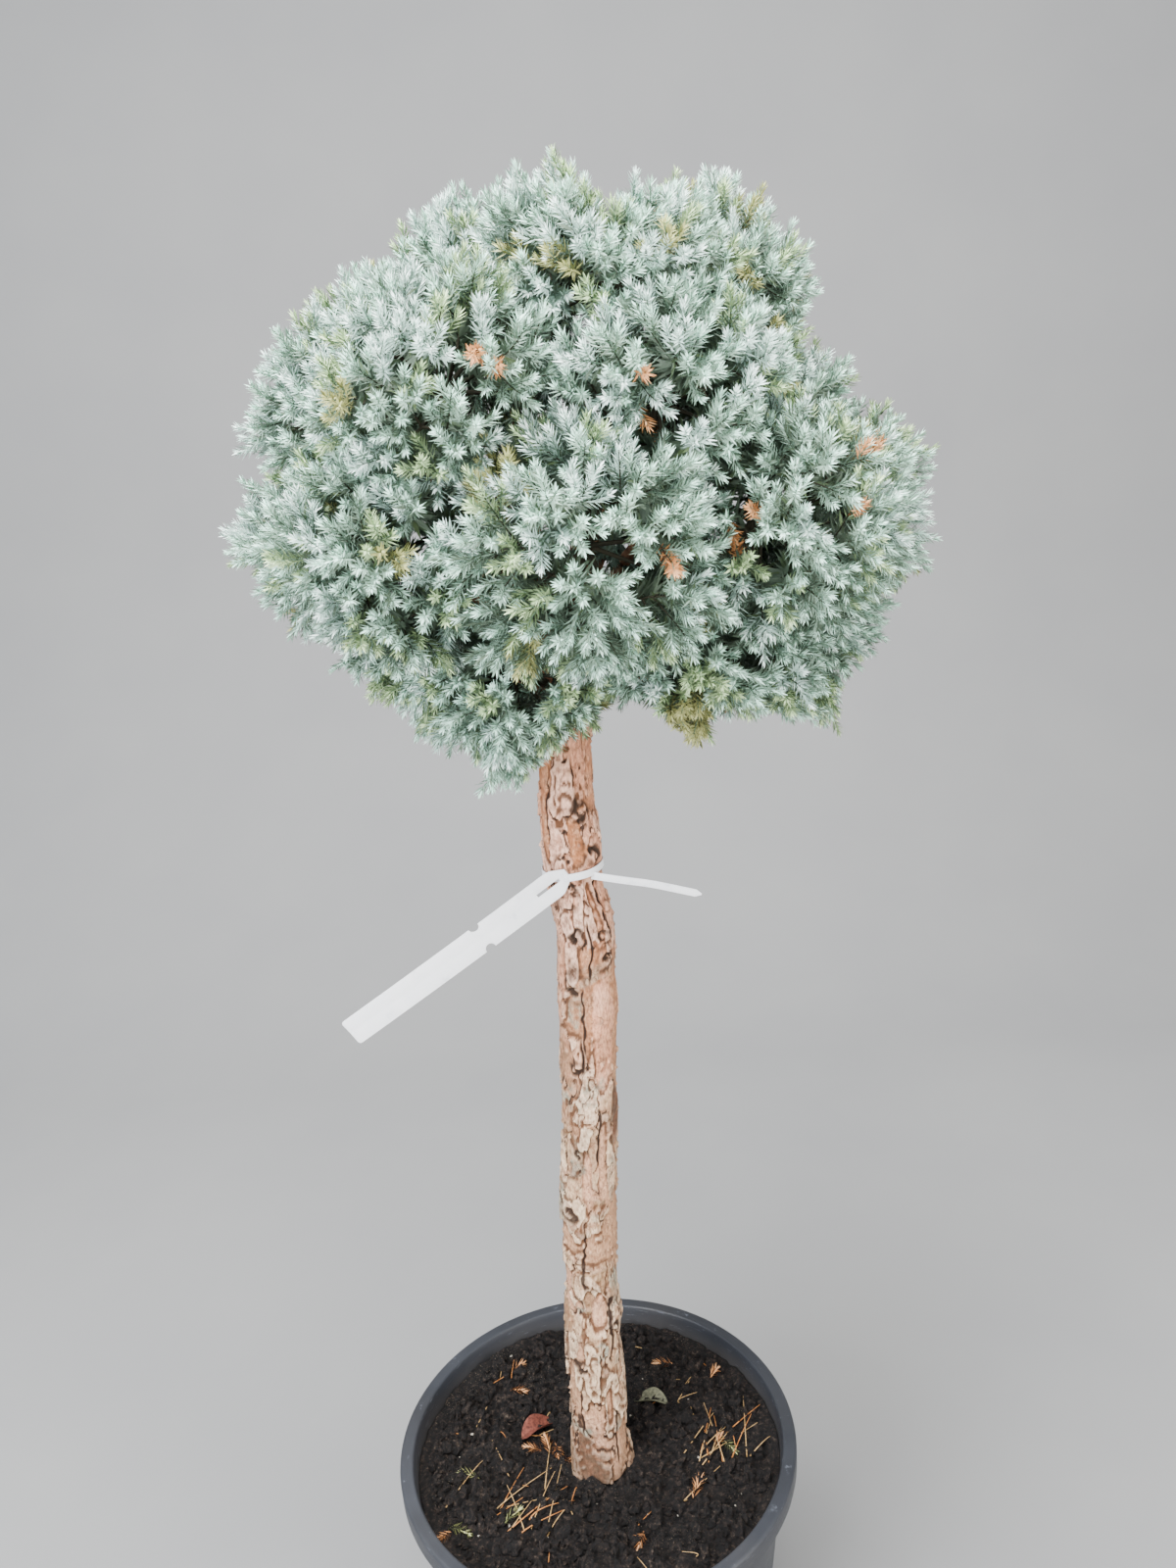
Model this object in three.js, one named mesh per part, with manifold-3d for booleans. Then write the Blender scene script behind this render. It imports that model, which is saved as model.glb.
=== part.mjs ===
// A potted blue juniper grown as a standard: a clear, leaning stem with flaking bark
// carries a round, unclipped crown of needle sprays above a plain nursery pot.
//
// Units are millimetres and +Z is up. The origin is the centre of the pot's flat
// underside, +X is the side where the crown leans, and -Y faces the viewer.

import * as THREE from 'three';
import Module from 'manifold-3d';
import { mergeVertices } from 'three/addons/utils/BufferGeometryUtils.js';

const wasm = await Module();
wasm.setup();

// Fits and shared rules
const GAP = 0.3;
const FULL_TURN = 2 * Math.PI;
const GOLDEN_TURN = Math.PI * (3 - Math.sqrt(5));
const UP = new THREE.Vector3(0, 0, 1);

// Pot: a plain round container with a rolled lip
const POT_HEIGHT = 360;
const POT_RIM_RADIUS = 210;
const POT_RIM_WIDTH = 12.5;
const POT_LIP_DROP = 21;
const POT_WALL = 2.6;
const POT_BASE_RADIUS = 160;
const POT_FLOOR = 3.6;
const POT_SIDES = 48;
const POT_RIM_EASE = 2;
const DRAIN_HOLES = 5;
const DRAIN_RADIUS = 7;
const DRAIN_RING_RADIUS = 126;
const DRAIN_SIDES = 8;

// Soil: fills the pot to a little below the rim
const SOIL_LEVEL = 331;
const SOIL_PATCH_RADIUS = 44;
const SOIL_EDGE_DROP = 5;
const SOIL_ROUGHNESS = 3;
const SOIL_RINGS = 4;
const SOIL_SEED = 11;

// Trunk: height, lean to the right, lean to the back, and width at each station
const TRUNK_STATIONS = [
  [331.3, 2.5, -3, 54],
  [467, 4.6, -3, 55],
  [623, 11, -2, 54],
  [788, 21.6, -1, 54],
  [922, 29, 0, 52],
  [957, 28, 0, 53.5],
  [991, 22, 0, 48],
  [1030, 21.5, 0, 52],
  [1067, 20.4, 0, 47.5],
  [1126, 24.4, 0, 43],
  [1240, 31, 0, 38],
];
const TRUNK_FOOT = TRUNK_STATIONS[0][0];
const TRUNK_FORK = TRUNK_STATIONS[TRUNK_STATIONS.length - 1][0];
const TRUNK_SIDES = 18;
const TRUNK_RINGS = 34;
const ROOT_FLARE = 7;
const ROOT_FLARE_HEIGHT = 22;
const ROOT_LOBES = 5;
const ROOT_LOBE_DEPTH = 0.25;
// Knots and pruning scars: height, bearing in degrees, how far they stand out, and their size
const TRUNK_KNOTS = [
  [398, 250, 3, 20],
  [520, 330, 3, 18],
  [655, 215, 2.5, 18],
  [862, 262, 4, 24],
  [930, 268, 4, 22],
  [1022, 300, 5, 14],
  [1068, 285, 5, 16],
  [1100, 130, 4, 18],
];

// Crown: tiers of foliage masses on level rings round the trunk's head
const CROWN_HEART = new THREE.Vector3(52, 0, 1270);
const TIERS = [
  { name: 'top', count: 4, level: 1491, tilt: 0, middle: 80, reachX: 84, reachY: 92,
    across: 110, up: 98, fork: 1236, arch: 0, lift: 0.3, bough: 5.6 },
  { name: 'upper', count: 6, level: 1414, tilt: -18, middle: 36, reachX: 154, reachY: 142,
    across: 118, up: 100, fork: 1212, arch: 24, lift: 0.25, bough: 6.4 },
  { name: 'middle', count: 8, level: 1311, tilt: 8, middle: 53, reachX: 186, reachY: 168,
    across: 118, up: 102, fork: 1184, arch: 30, lift: 0.1, bough: 5.8 },
  { name: 'skirt', count: 6, level: 1209, tilt: 0, middle: 62, reachX: 146, reachY: 112,
    across: 108, up: 82, fork: 1152, arch: 24, lift: -0.25, bough: 5.2 },
];
const BEARING_NAMES = [
  'right', 'back_right', 'back', 'back_left', 'left', 'front_left', 'front', 'front_right',
];
const CORE_SHARE = 0.78;
const CORE_ROUGHNESS = 0.18;
const CORE_DETAIL = 1;
const CELL_MARGIN = 0.4;
const TRUNK_CLEARANCE = 34;
const HOLLOW_RADIUS = 52;
const FIRST_SEED = 101;
const SEED_STEP = 17;

// Boughs and stems
const BOUGH_SIDES = 7;
const BOUGH_RINGS = 4;
const BOUGH_TIP_RADIUS = 4.2;
const BOUGH_ROOT_SHARE = 0.62;
const BOUGH_BEND = 0.5;
const BOUGH_PROBES = 12;
const STEM_RADIUS = 3.8;
const STEM_SHOWS = 7;

// Twigs and sprays
const TWIGS = 12;
const SHOOTS_PER_TWIG = 3;
const TWIG_RADIUS = 2.6;
const FORK_DEPTH = 0.62;
const SPRAY_SINK = 6;
const SHOOT_SPREAD = 0.5;
const SHOOT_MIN_STAND = 16;
const INWARD_LIMIT = -0.25;
const TIP_REACH_LOW = 0.94;
const TIP_REACH_SPAN = 0.12;
const SPRAY_SHAFT_RADIUS = 3.2;
const SPRAY_TOOTH_REACH = 14;
const SPRAY_TOOTH_AT = 0.72;
const SPRAY_TOOTH_STAGGER = 0.07;
const SPRAY_NECK_AT = 0.7;
const SPRAY_PROBES = 6;
const LIMB_CLEARANCE = 3;
const THINNEST_FACET = 0.02;

// Blank plant tag: a strip tied round the trunk, with the loose end of its band
const TAG_LEVEL = 1008;
const TAG_THICKNESS = 0.8;
const TAG_BAND_HEIGHT = 7;
const TAG_STRIP_LENGTH = 246;
const TAG_STRIP_WIDTH = 27;
const TAG_STRIP_SLOPE = 32;
const TAG_STRIP_SWING = 6;
const TAG_STRIP_HEAD = new THREE.Vector3(18.4, -26, 1009);
const TAG_NECK_SHARE = 0.4;
const TAG_NOTCH_RADIUS = 5;
const TAG_NOTCH_FROM_HEAD = 96;
const TAG_TAIL = [
  new THREE.Vector3(34.5, -16.8, 1004.2),
  new THREE.Vector3(62, -26, 1000),
  new THREE.Vector3(92, -28, 994),
  new THREE.Vector3(136, -27, 980),
];
const TAG_TAIL_STEPS = 6;

// Finishes: colour and roughness
const FINISHES = {
  pot: [0x2d2e30, 0.55],
  soil: [0x2b2119, 0.95],
  bark: [0xa9836a, 0.85],
  youngBark: [0x8a6a52, 0.85],
  needles: [0x7f9a92, 0.7],
  tag: [0xe8e9ea, 0.45],
};

/** Repeatable random numbers from 0 to 1. */
function seeded(seed) {
  let state = seed >>> 0;
  return () => {
    state = (state + 0x6d2b79f5) >>> 0;
    let word = state;
    word = Math.imul(word ^ (word >>> 15), word | 1);
    word ^= word + Math.imul(word ^ (word >>> 7), word | 61);
    return ((word ^ (word >>> 14)) >>> 0) / 4294967296;
  };
}

/** A geometry with only merged positions and no collapsed triangles. */
function cleaned(geometry) {
  const bare = geometry.clone();
  bare.deleteAttribute('normal');
  bare.deleteAttribute('uv');
  const merged = mergeVertices(bare);
  const corners = merged.index.array;
  const kept = [];
  for (let i = 0; i < corners.length; i += 3) {
    const [a, b, c] = [corners[i], corners[i + 1], corners[i + 2]];
    if (a !== b && b !== c && c !== a) kept.push(a, b, c);
  }
  merged.setIndex(kept);
  return merged;
}

/** The solid held by a closed geometry. */
function solidOf(geometry) {
  const merged = cleaned(geometry);
  return new wasm.Manifold(new wasm.Mesh({
    numProp: 3,
    vertProperties: new Float32Array(merged.attributes.position.array),
    triVerts: new Uint32Array(merged.index.array),
  }));
}

/** The height of the thinnest triangle on a solid's surface. */
function thinnest(solid) {
  const { index, attributes } = geometryOf(solid);
  const corner = (i) => new THREE.Vector3().fromBufferAttribute(attributes.position, index.getX(i));
  let least = Infinity;
  for (let i = 0; i < index.count; i += 3) {
    const [a, b, c] = [corner(i), corner(i + 1), corner(i + 2)];
    const doubled = b.clone().sub(a).cross(c.clone().sub(a)).length();
    least = Math.min(least, doubled / Math.max(a.distanceTo(b), b.distanceTo(c), c.distanceTo(a)));
  }
  return least;
}

/** A solid without the loose scraps that a cut can leave. */
function largestBody(solid) {
  const bodies = solid.decompose();
  return bodies.reduce((best, body) => (body.volume() > best.volume() ? body : best));
}

/** The geometry of a solid's surface. */
function geometryOf(solid) {
  const mesh = solid.getMesh();
  const geometry = new THREE.BufferGeometry();
  geometry.setAttribute('position', new THREE.BufferAttribute(new Float32Array(mesh.vertProperties), 3));
  geometry.setIndex(Array.from(mesh.triVerts));
  return geometry;
}

/** A closed geometry through loops of points, with flat ends or a pointed one. */
function loft(loops, point = null) {
  const sides = loops[0].length;
  const points = loops.flat();
  const faces = [];
  for (let k = 0; k + 1 < loops.length; k++) {
    for (let i = 0; i < sides; i++) {
      const a = k * sides + i;
      const b = k * sides + (i + 1) % sides;
      faces.push(a, b, b + sides, a, b + sides, a + sides);
    }
  }
  const last = (loops.length - 1) * sides;
  for (let i = 1; i + 1 < sides; i++) faces.push(0, i + 1, i);
  if (point) {
    points.push(point);
    for (let i = 0; i < sides; i++) faces.push(last + i, last + (i + 1) % sides, points.length - 1);
  } else {
    for (let i = 1; i + 1 < sides; i++) faces.push(last, last + i, last + i + 1);
  }
  const geometry = new THREE.BufferGeometry().setFromPoints(points);
  geometry.setIndex(faces);
  return geometry;
}

/** A unit vector square to the one given. */
function squareTo(along) {
  const other = Math.abs(along.z) < 0.8 ? UP : new THREE.Vector3(1, 0, 0);
  return other.clone().addScaledVector(along, -other.dot(along)).normalize();
}

/** One loop of points round a middle, across the direction given. */
function loopRound(middle, along, side, sides, radiusAt) {
  const across = along.clone().cross(side);
  return Array.from({ length: sides }, (_, i) => {
    const turn = FULL_TURN * i / sides;
    return middle.clone()
      .addScaledVector(side, Math.cos(turn) * radiusAt(i))
      .addScaledVector(across, Math.sin(turn) * radiusAt(i));
  });
}

/** A tapering limb along a curve. */
function limb(curve, sides, rings, radiusAt, grow = 0) {
  const side = squareTo(curve.getTangent(0));
  const loops = [];
  for (let k = 0; k <= rings; k++) {
    const along = curve.getTangent(k / rings);
    const middle = curve.getPoint(k / rings);
    if (k === 0) middle.addScaledVector(along, -grow);
    if (k === rings) middle.addScaledVector(along, grow);
    side.addScaledVector(along, -side.dot(along)).normalize();
    loops.push(loopRound(middle, along, side, sides, () => radiusAt(k / rings) + grow));
  }
  return loft(loops);
}

/** Smooth values between the rows of a table whose first column is the height. */
function between(rows, height) {
  const last = rows.length - 2;
  let k = 0;
  while (k < last && height > rows[k + 1][0]) k++;
  const span = rows[k + 1][0] - rows[k][0];
  const t = THREE.MathUtils.clamp((height - rows[k][0]) / span, 0, 1);
  const slope = (row, column) => {
    const low = rows[Math.max(row - 1, 0)];
    const high = rows[Math.min(row + 1, rows.length - 1)];
    return (high[column] - low[column]) / (high[0] - low[0]) * span;
  };
  return rows[k].map((start, column) => {
    const end = rows[k + 1][column];
    const rise = slope(k, column);
    const settle = slope(k + 1, column);
    return (2 * t ** 3 - 3 * t ** 2 + 1) * start + (t ** 3 - 2 * t ** 2 + t) * rise
      + (3 * t ** 2 - 2 * t ** 3) * end + (t ** 3 - t ** 2) * settle;
  });
}

/** The middle of the trunk at a height. */
function trunkMiddle(height) {
  const [, x, y] = between(TRUNK_STATIONS, height);
  return new THREE.Vector3(x, y, height);
}

/** The trunk's radius at a height and bearing, with its root flare and knots. */
function trunkRadius(height, bearing) {
  const width = between(TRUNK_STATIONS, height)[3];
  const lobes = 1 - ROOT_LOBE_DEPTH * (1 - Math.cos(ROOT_LOBES * bearing));
  const flare = ROOT_FLARE * lobes * Math.exp(-(height - TRUNK_FOOT) / ROOT_FLARE_HEIGHT);
  let bulge = 0;
  for (const [level, degrees, out, size] of TRUNK_KNOTS) {
    const swing = Math.cos(bearing - THREE.MathUtils.degToRad(degrees));
    const round = (1 - swing) * (width / 2) ** 2 / size ** 2;
    bulge += out * Math.exp(-(((height - level) / size) ** 2) - 2 * round);
  }
  return width / 2 + flare + bulge;
}

/** The trunk from its flat foot on the soil to its fork, grown outwards for clearances. */
function trunkShape(grow = 0) {
  const loops = [];
  for (let k = 0; k <= TRUNK_RINGS; k++) {
    const height = THREE.MathUtils.lerp(TRUNK_FOOT, TRUNK_FORK, k / TRUNK_RINGS);
    const middle = trunkMiddle(height);
    if (k === TRUNK_RINGS) middle.z += grow;
    const side = new THREE.Vector3(1, 0, 0);
    const radiusAt = (i) => trunkRadius(height, FULL_TURN * i / TRUNK_SIDES) + grow;
    loops.push(loopRound(middle, UP, side, TRUNK_SIDES, radiusAt));
  }
  return loft(loops);
}

/** The pot's inner radius at a height. */
function potInside(height) {
  const wallTop = POT_RIM_RADIUS - POT_RIM_WIDTH;
  const share = (height - POT_FLOOR) / (POT_HEIGHT - POT_FLOOR);
  return THREE.MathUtils.lerp(POT_BASE_RADIUS, wallTop, share) - POT_WALL;
}

/** The pot: base, tapering wall, flat rim, turned-down lip and drain holes. */
function potShape() {
  const wallTop = POT_RIM_RADIUS - POT_RIM_WIDTH;
  const profile = [
    [0, 0],
    [POT_BASE_RADIUS - POT_WALL, 0],
    [POT_BASE_RADIUS, POT_WALL],
    [wallTop, POT_HEIGHT - POT_WALL],
    [POT_RIM_RADIUS - POT_WALL, POT_HEIGHT - POT_WALL],
    [POT_RIM_RADIUS - POT_WALL, POT_HEIGHT - POT_LIP_DROP],
    [POT_RIM_RADIUS, POT_HEIGHT - POT_LIP_DROP],
    [POT_RIM_RADIUS, POT_HEIGHT - POT_RIM_EASE],
    [POT_RIM_RADIUS - POT_RIM_EASE, POT_HEIGHT],
    [wallTop, POT_HEIGHT],
    [potInside(POT_HEIGHT - POT_RIM_EASE), POT_HEIGHT - POT_RIM_EASE],
    [potInside(POT_FLOOR), POT_FLOOR],
    [0, POT_FLOOR],
  ];
  const points = profile.map(([radius, height]) => new THREE.Vector2(radius, height));
  const lathe = new THREE.LatheGeometry(points, POT_SIDES).rotateX(Math.PI / 2);
  let pot = solidOf(lathe);
  for (let i = 0; i < DRAIN_HOLES; i++) {
    const turn = FULL_TURN * (i + 0.5) / DRAIN_HOLES;
    const drill = new THREE.CylinderGeometry(DRAIN_RADIUS, DRAIN_RADIUS, 4 * POT_FLOOR, DRAIN_SIDES);
    drill.rotateX(Math.PI / 2);
    drill.translate(DRAIN_RING_RADIUS * Math.cos(turn), DRAIN_RING_RADIUS * Math.sin(turn), 0);
    pot = pot.subtract(solidOf(drill));
  }
  return geometryOf(pot);
}

/** The soil: it follows the pot's inside, with an uneven top that is level under the trunk. */
function soilShape() {
  const random = seeded(SOIL_SEED);
  const bottom = POT_FLOOR + GAP;
  const foot = TRUNK_STATIONS[0];
  const step = FULL_TURN / POT_SIDES;
  const clear = GAP / Math.cos(step / 2);
  // Turns as the pot's own sides do, so the two stay parallel
  const ring = (radius, heightAt, middleX = 0, middleY = 0) => Array.from({ length: POT_SIDES }, (_, i) => {
    const turn = i * step;
    const [x, y] = [radius * Math.cos(turn), radius * Math.sin(turn)];
    return new THREE.Vector3(middleX + x, middleY + y, heightAt(i));
  });
  const rimHeight = SOIL_LEVEL - SOIL_EDGE_DROP;
  const rimRadius = potInside(rimHeight) - clear;
  const loops = [ring(potInside(bottom) - clear, () => bottom), ring(rimRadius, () => rimHeight)];
  for (let k = 1; k < SOIL_RINGS; k++) {
    const share = k / SOIL_RINGS;
    const radius = THREE.MathUtils.lerp(rimRadius, SOIL_PATCH_RADIUS, share);
    const level = THREE.MathUtils.lerp(rimHeight, SOIL_LEVEL, share);
    const bumpy = () => level + SOIL_ROUGHNESS * (random() - 0.5);
    loops.push(ring(radius, bumpy, foot[1] * share, foot[2] * share));
  }
  loops.push(ring(SOIL_PATCH_RADIUS, () => SOIL_LEVEL, foot[1], foot[2]));
  return loft(loops);
}

/** The masses of the crown, each with its heart, size and seed. */
function crownMasses() {
  const masses = [];
  for (const tier of TIERS) {
    for (let i = 0; i < tier.count; i++) {
      const turn = FULL_TURN * i / tier.count;
      const bearing = Math.round(turn / (FULL_TURN / BEARING_NAMES.length));
      masses.push({
        tier,
        name: `${tier.name}_${BEARING_NAMES[bearing % BEARING_NAMES.length]}`,
        heart: new THREE.Vector3(
          tier.middle + tier.reachX * Math.cos(turn),
          tier.reachY * Math.sin(turn),
          tier.level + tier.tilt * Math.cos(turn),
        ),
        size: (tier.across + tier.up) / 2,
        seed: FIRST_SEED + masses.length * SEED_STEP,
      });
    }
  }
  return masses;
}

/** The planes that keep a mass to its own space: its neighbours, the trunk and the crown's middle. */
function fencesOf(mass, masses) {
  const fences = [];
  for (const other of masses) {
    if (other === mass) continue;
    const normal = other.heart.clone().sub(mass.heart);
    const apart = normal.length();
    fences.push({ normal: normal.normalize(), distance: apart * mass.size / (mass.size + other.size) });
  }
  const inward = trunkMiddle(Math.min(mass.heart.z, TRUNK_FORK)).sub(mass.heart).setZ(0);
  const away = inward.length();
  const clearance = mass.heart.z < TRUNK_FORK ? TRUNK_CLEARANCE : HOLLOW_RADIUS;
  if (away > clearance + mass.size / 2) {
    fences.push({ normal: inward.normalize(), distance: away - clearance });
  }
  return fences;
}

/** How far a mass's fences, its tips and its core lie from its heart in a direction. */
function reachOf(mass, direction) {
  const { across, up } = mass.tier;
  const free = 1 / Math.hypot(direction.x / across, direction.y / across, direction.z / up);
  let fenced = Infinity;
  for (const { normal, distance } of mass.fences) {
    const slant = direction.dot(normal);
    if (slant > 0) fenced = Math.min(fenced, (distance - CELL_MARGIN) / slant);
  }
  return { fenced, tip: Math.min(free, fenced), core: Math.min(free * CORE_SHARE, fenced) };
}

/** Whether a point is inside a mass's fences. */
function withinFences(mass, point) {
  const offset = point.clone().sub(mass.heart);
  return mass.fences.every(({ normal, distance }) => offset.dot(normal) <= distance - CELL_MARGIN);
}

/** The dense middle of a mass. */
function coreShape(mass) {
  const geometry = cleaned(new THREE.IcosahedronGeometry(1, CORE_DETAIL));
  const place = geometry.attributes.position;
  const random = seeded(mass.seed + 1);
  for (let i = 0; i < place.count; i++) {
    const direction = new THREE.Vector3().fromBufferAttribute(place, i).normalize();
    const reach = reachOf(mass, direction).core * (1 - CORE_ROUGHNESS * random());
    const point = direction.clone().multiplyScalar(reach).add(mass.heart);
    place.setXYZ(i, point.x, point.y, point.z);
  }
  return geometry;
}

/** The curve of the bough that carries a mass, from inside the trunk to the mass's inner side. */
function boughCurve(mass) {
  const { fork, arch } = mass.tier;
  const outward = mass.heart.clone().sub(trunkMiddle(fork)).setZ(0).normalize();
  const root = trunkMiddle(fork).addScaledVector(outward, BOUGH_ROOT_SHARE * trunkRadius(fork, 0));
  const arrival = root.clone().setZ(root.z + arch).sub(mass.heart).normalize();
  const reach = reachOf(mass, arrival);
  const entry = Math.min(reach.core + STEM_SHOWS, reach.fenced - 2 * BOUGH_TIP_RADIUS);
  const end = mass.heart.clone().addScaledVector(arrival, entry);
  const turn = end.clone().addScaledVector(arrival, BOUGH_BEND * end.distanceTo(root));
  return new THREE.QuadraticBezierCurve3(root, turn, end);
}

/** The radius of a mass's bough, from 0 at its root to 1 at its tip. */
function boughRadius(mass, share) {
  return THREE.MathUtils.lerp(mass.tier.bough, BOUGH_TIP_RADIUS, share);
}

/** A bough, grown outwards for clearances. */
function boughShape(mass, grow = 0) {
  return limb(mass.bough, BOUGH_SIDES, BOUGH_RINGS, (share) => boughRadius(mass, share), grow);
}

/** A spray of needles: a slim shaft with teeth at staggered places and a pointed end. */
function sprayShape(root, tip, twist) {
  const along = tip.clone().sub(root).normalize();
  const length = tip.distanceTo(root);
  const side = squareTo(along).applyAxisAngle(along, twist);
  const turned = side.clone().applyAxisAngle(along, -Math.PI / 3);
  const at = (share) => root.clone().addScaledVector(along, share * length);
  const foot = loopRound(root, along, side, 3, () => SPRAY_SHAFT_RADIUS);
  const teeth = loopRound(at(SPRAY_TOOTH_AT), along, turned, 3, () => SPRAY_TOOTH_REACH);
  teeth.forEach((tooth, i) => tooth.addScaledVector(along, i * SPRAY_TOOTH_STAGGER * length));
  const neck = loopRound(at(SPRAY_NECK_AT), along, side, 3, () => SPRAY_SHAFT_RADIUS);
  neck.unshift(neck.pop());
  return { corners: [...foot, ...teeth, ...neck, tip], geometry: loft([foot, teeth, neck], tip) };
}

/** Whether a line comes too near a bough or the trunk. */
function nearLimb(from, to, boughs, reach) {
  const probe = new THREE.Vector3();
  for (let k = 0; k <= SPRAY_PROBES; k++) {
    probe.lerpVectors(from, to, k / SPRAY_PROBES);
    if (probe.z < TRUNK_FORK + reach) {
      const middle = trunkMiddle(Math.min(probe.z, TRUNK_FORK));
      const wide = trunkRadius(Math.min(probe.z, TRUNK_FORK), 0) + reach;
      if (Math.hypot(probe.x - middle.x, probe.y - middle.y) < wide) return true;
    }
    for (const points of boughs) {
      if (points.some(({ point, radius }) => probe.distanceTo(point) < radius + reach)) return true;
    }
  }
  return false;
}

/** Shoots of a mass by the seeded rule: twigs spread from the heart, and each forks into a few. */
function shootsOf(mass, boughs) {
  const random = seeded(mass.seed);
  const outward = mass.heart.clone().sub(CROWN_HEART).normalize();
  const phase = random() * FULL_TURN;
  const shoots = [];
  for (let i = 0; i < TWIGS; i++) {
    const height = 1 - (2 * i + 1) / TWIGS;
    const turn = phase + i * GOLDEN_TURN;
    const flat = Math.sqrt(1 - height * height);
    const direction = new THREE.Vector3(flat * Math.cos(turn), flat * Math.sin(turn), height);
    const fork = mass.heart.clone().addScaledVector(direction, reachOf(mass, direction).core * FORK_DEPTH);
    const side = squareTo(direction).applyAxisAngle(direction, random() * FULL_TURN);
    for (let k = 0; k < SHOOTS_PER_TWIG; k++) {
      const swing = side.clone().applyAxisAngle(direction, FULL_TURN * k / SHOOTS_PER_TWIG);
      const aim = direction.clone().addScaledVector(swing, SHOOT_SPREAD);
      aim.addScaledVector(UP, mass.tier.lift / 2).normalize();
      const stretch = TIP_REACH_LOW + TIP_REACH_SPAN * random();
      const twist = random() * FULL_TURN;
      const reach = reachOf(mass, aim);
      if (aim.dot(outward) < INWARD_LIMIT || reach.tip - reach.core < SHOOT_MIN_STAND) continue;
      const tip = mass.heart.clone().addScaledVector(aim, reach.tip * stretch);
      const root = fork.clone().addScaledVector(tip.clone().sub(fork).normalize(), -SPRAY_SINK);
      const spray = sprayShape(root, tip, twist);
      if (!spray.corners.every((point) => withinFences(mass, point))) continue;
      if (nearLimb(fork, tip, boughs, SPRAY_TOOTH_REACH + LIMB_CLEARANCE)) continue;
      shoots.push({ fork, spray });
    }
  }
  return shoots;
}

/** A mass: its core, the stem that meets the bough's tip, and its twigs and sprays. */
function massShape(mass, boughs, limbs) {
  const end = mass.bough.getPoint(1);
  const inward = mass.bough.getTangent(1);
  const stem = new THREE.LineCurve3(end.clone().addScaledVector(inward, GAP), mass.heart.clone());
  let solid = solidOf(coreShape(mass));
  for (const cut of limbs) solid = solid.subtract(cut);
  solid = solid.add(solidOf(limb(stem, BOUGH_SIDES, 1, () => STEM_RADIUS)));
  const finest = Math.min(THINNEST_FACET, thinnest(solid));
  for (const { fork, spray } of shootsOf(mass, boughs)) {
    const twig = new THREE.LineCurve3(mass.heart.clone(), fork);
    const grown = solid.add(solidOf(limb(twig, 3, 1, () => TWIG_RADIUS))).add(solidOf(spray.geometry));
    if (thinnest(grown) >= finest) solid = grown;
  }
  return largestBody(solid);
}

/** The strip of the tag, with a notch in each long edge, flat in its own plane. */
function tagStrip() {
  const half = TAG_STRIP_WIDTH / 2;
  const outline = new THREE.Shape();
  outline.moveTo(0, half * TAG_NECK_SHARE);
  outline.lineTo(-half, half);
  outline.lineTo(-TAG_NOTCH_FROM_HEAD + TAG_NOTCH_RADIUS, half);
  outline.absarc(-TAG_NOTCH_FROM_HEAD, half, TAG_NOTCH_RADIUS, 0, -Math.PI, true);
  outline.lineTo(-TAG_STRIP_LENGTH, half);
  outline.lineTo(-TAG_STRIP_LENGTH, -half);
  outline.lineTo(-TAG_NOTCH_FROM_HEAD - TAG_NOTCH_RADIUS, -half);
  outline.absarc(-TAG_NOTCH_FROM_HEAD, -half, TAG_NOTCH_RADIUS, Math.PI, 0, true);
  outline.lineTo(-half, -half);
  outline.lineTo(0, -half * TAG_NECK_SHARE);
  outline.closePath();
  const across = { depth: TAG_THICKNESS, bevelEnabled: false, curveSegments: 5 };
  const strip = new THREE.ExtrudeGeometry(outline, across);
  strip.rotateZ(THREE.MathUtils.degToRad(TAG_STRIP_SLOPE));
  strip.rotateX(Math.PI / 2);
  strip.rotateZ(THREE.MathUtils.degToRad(TAG_STRIP_SWING));
  strip.translate(TAG_STRIP_HEAD.x, TAG_STRIP_HEAD.y + TAG_THICKNESS, TAG_STRIP_HEAD.z);
  return strip;
}

/** The band of the tag round the trunk. */
function tagBand() {
  const middle = trunkMiddle(TAG_LEVEL);
  const outlineAt = (out) => Array.from({ length: TRUNK_SIDES }, (_, i) => {
    const turn = FULL_TURN * i / TRUNK_SIDES;
    const widest = Math.max(...[-1, 0, 1].map((k) => trunkRadius(TAG_LEVEL + k * TAG_BAND_HEIGHT / 2, turn)));
    return new THREE.Vector2((widest + out) * Math.cos(turn), (widest + out) * Math.sin(turn));
  });
  const ring = new THREE.Shape(outlineAt(2 * GAP + TAG_THICKNESS));
  ring.holes.push(new THREE.Path(outlineAt(2 * GAP)));
  const band = new THREE.ExtrudeGeometry(ring, { depth: TAG_BAND_HEIGHT, bevelEnabled: false });
  band.translate(middle.x, middle.y, TAG_LEVEL - TAG_BAND_HEIGHT / 2);
  return band;
}

/** The loose end of the tag's band. */
function tagTail() {
  const curve = new THREE.CatmullRomCurve3(TAG_TAIL);
  const loops = [];
  for (let k = 0; k <= TAG_TAIL_STEPS; k++) {
    const along = curve.getTangent(k / TAG_TAIL_STEPS);
    const middle = curve.getPoint(k / TAG_TAIL_STEPS);
    const face = along.clone().cross(UP).normalize().multiplyScalar(TAG_THICKNESS / 2);
    const edge = UP.clone().multiplyScalar(TAG_BAND_HEIGHT / 2);
    loops.push([
      middle.clone().add(face).add(edge),
      middle.clone().add(face).sub(edge),
      middle.clone().sub(face).sub(edge),
      middle.clone().sub(face).add(edge),
    ]);
  }
  return loft(loops);
}

/** A named mesh with a material of its own. */
function named(name, geometry, finish) {
  const [color, roughness] = finish;
  const material = new THREE.MeshStandardMaterial({ color, roughness, metalness: 0 });
  const mesh = new THREE.Mesh(geometry, material);
  mesh.name = name;
  return mesh;
}

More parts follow.
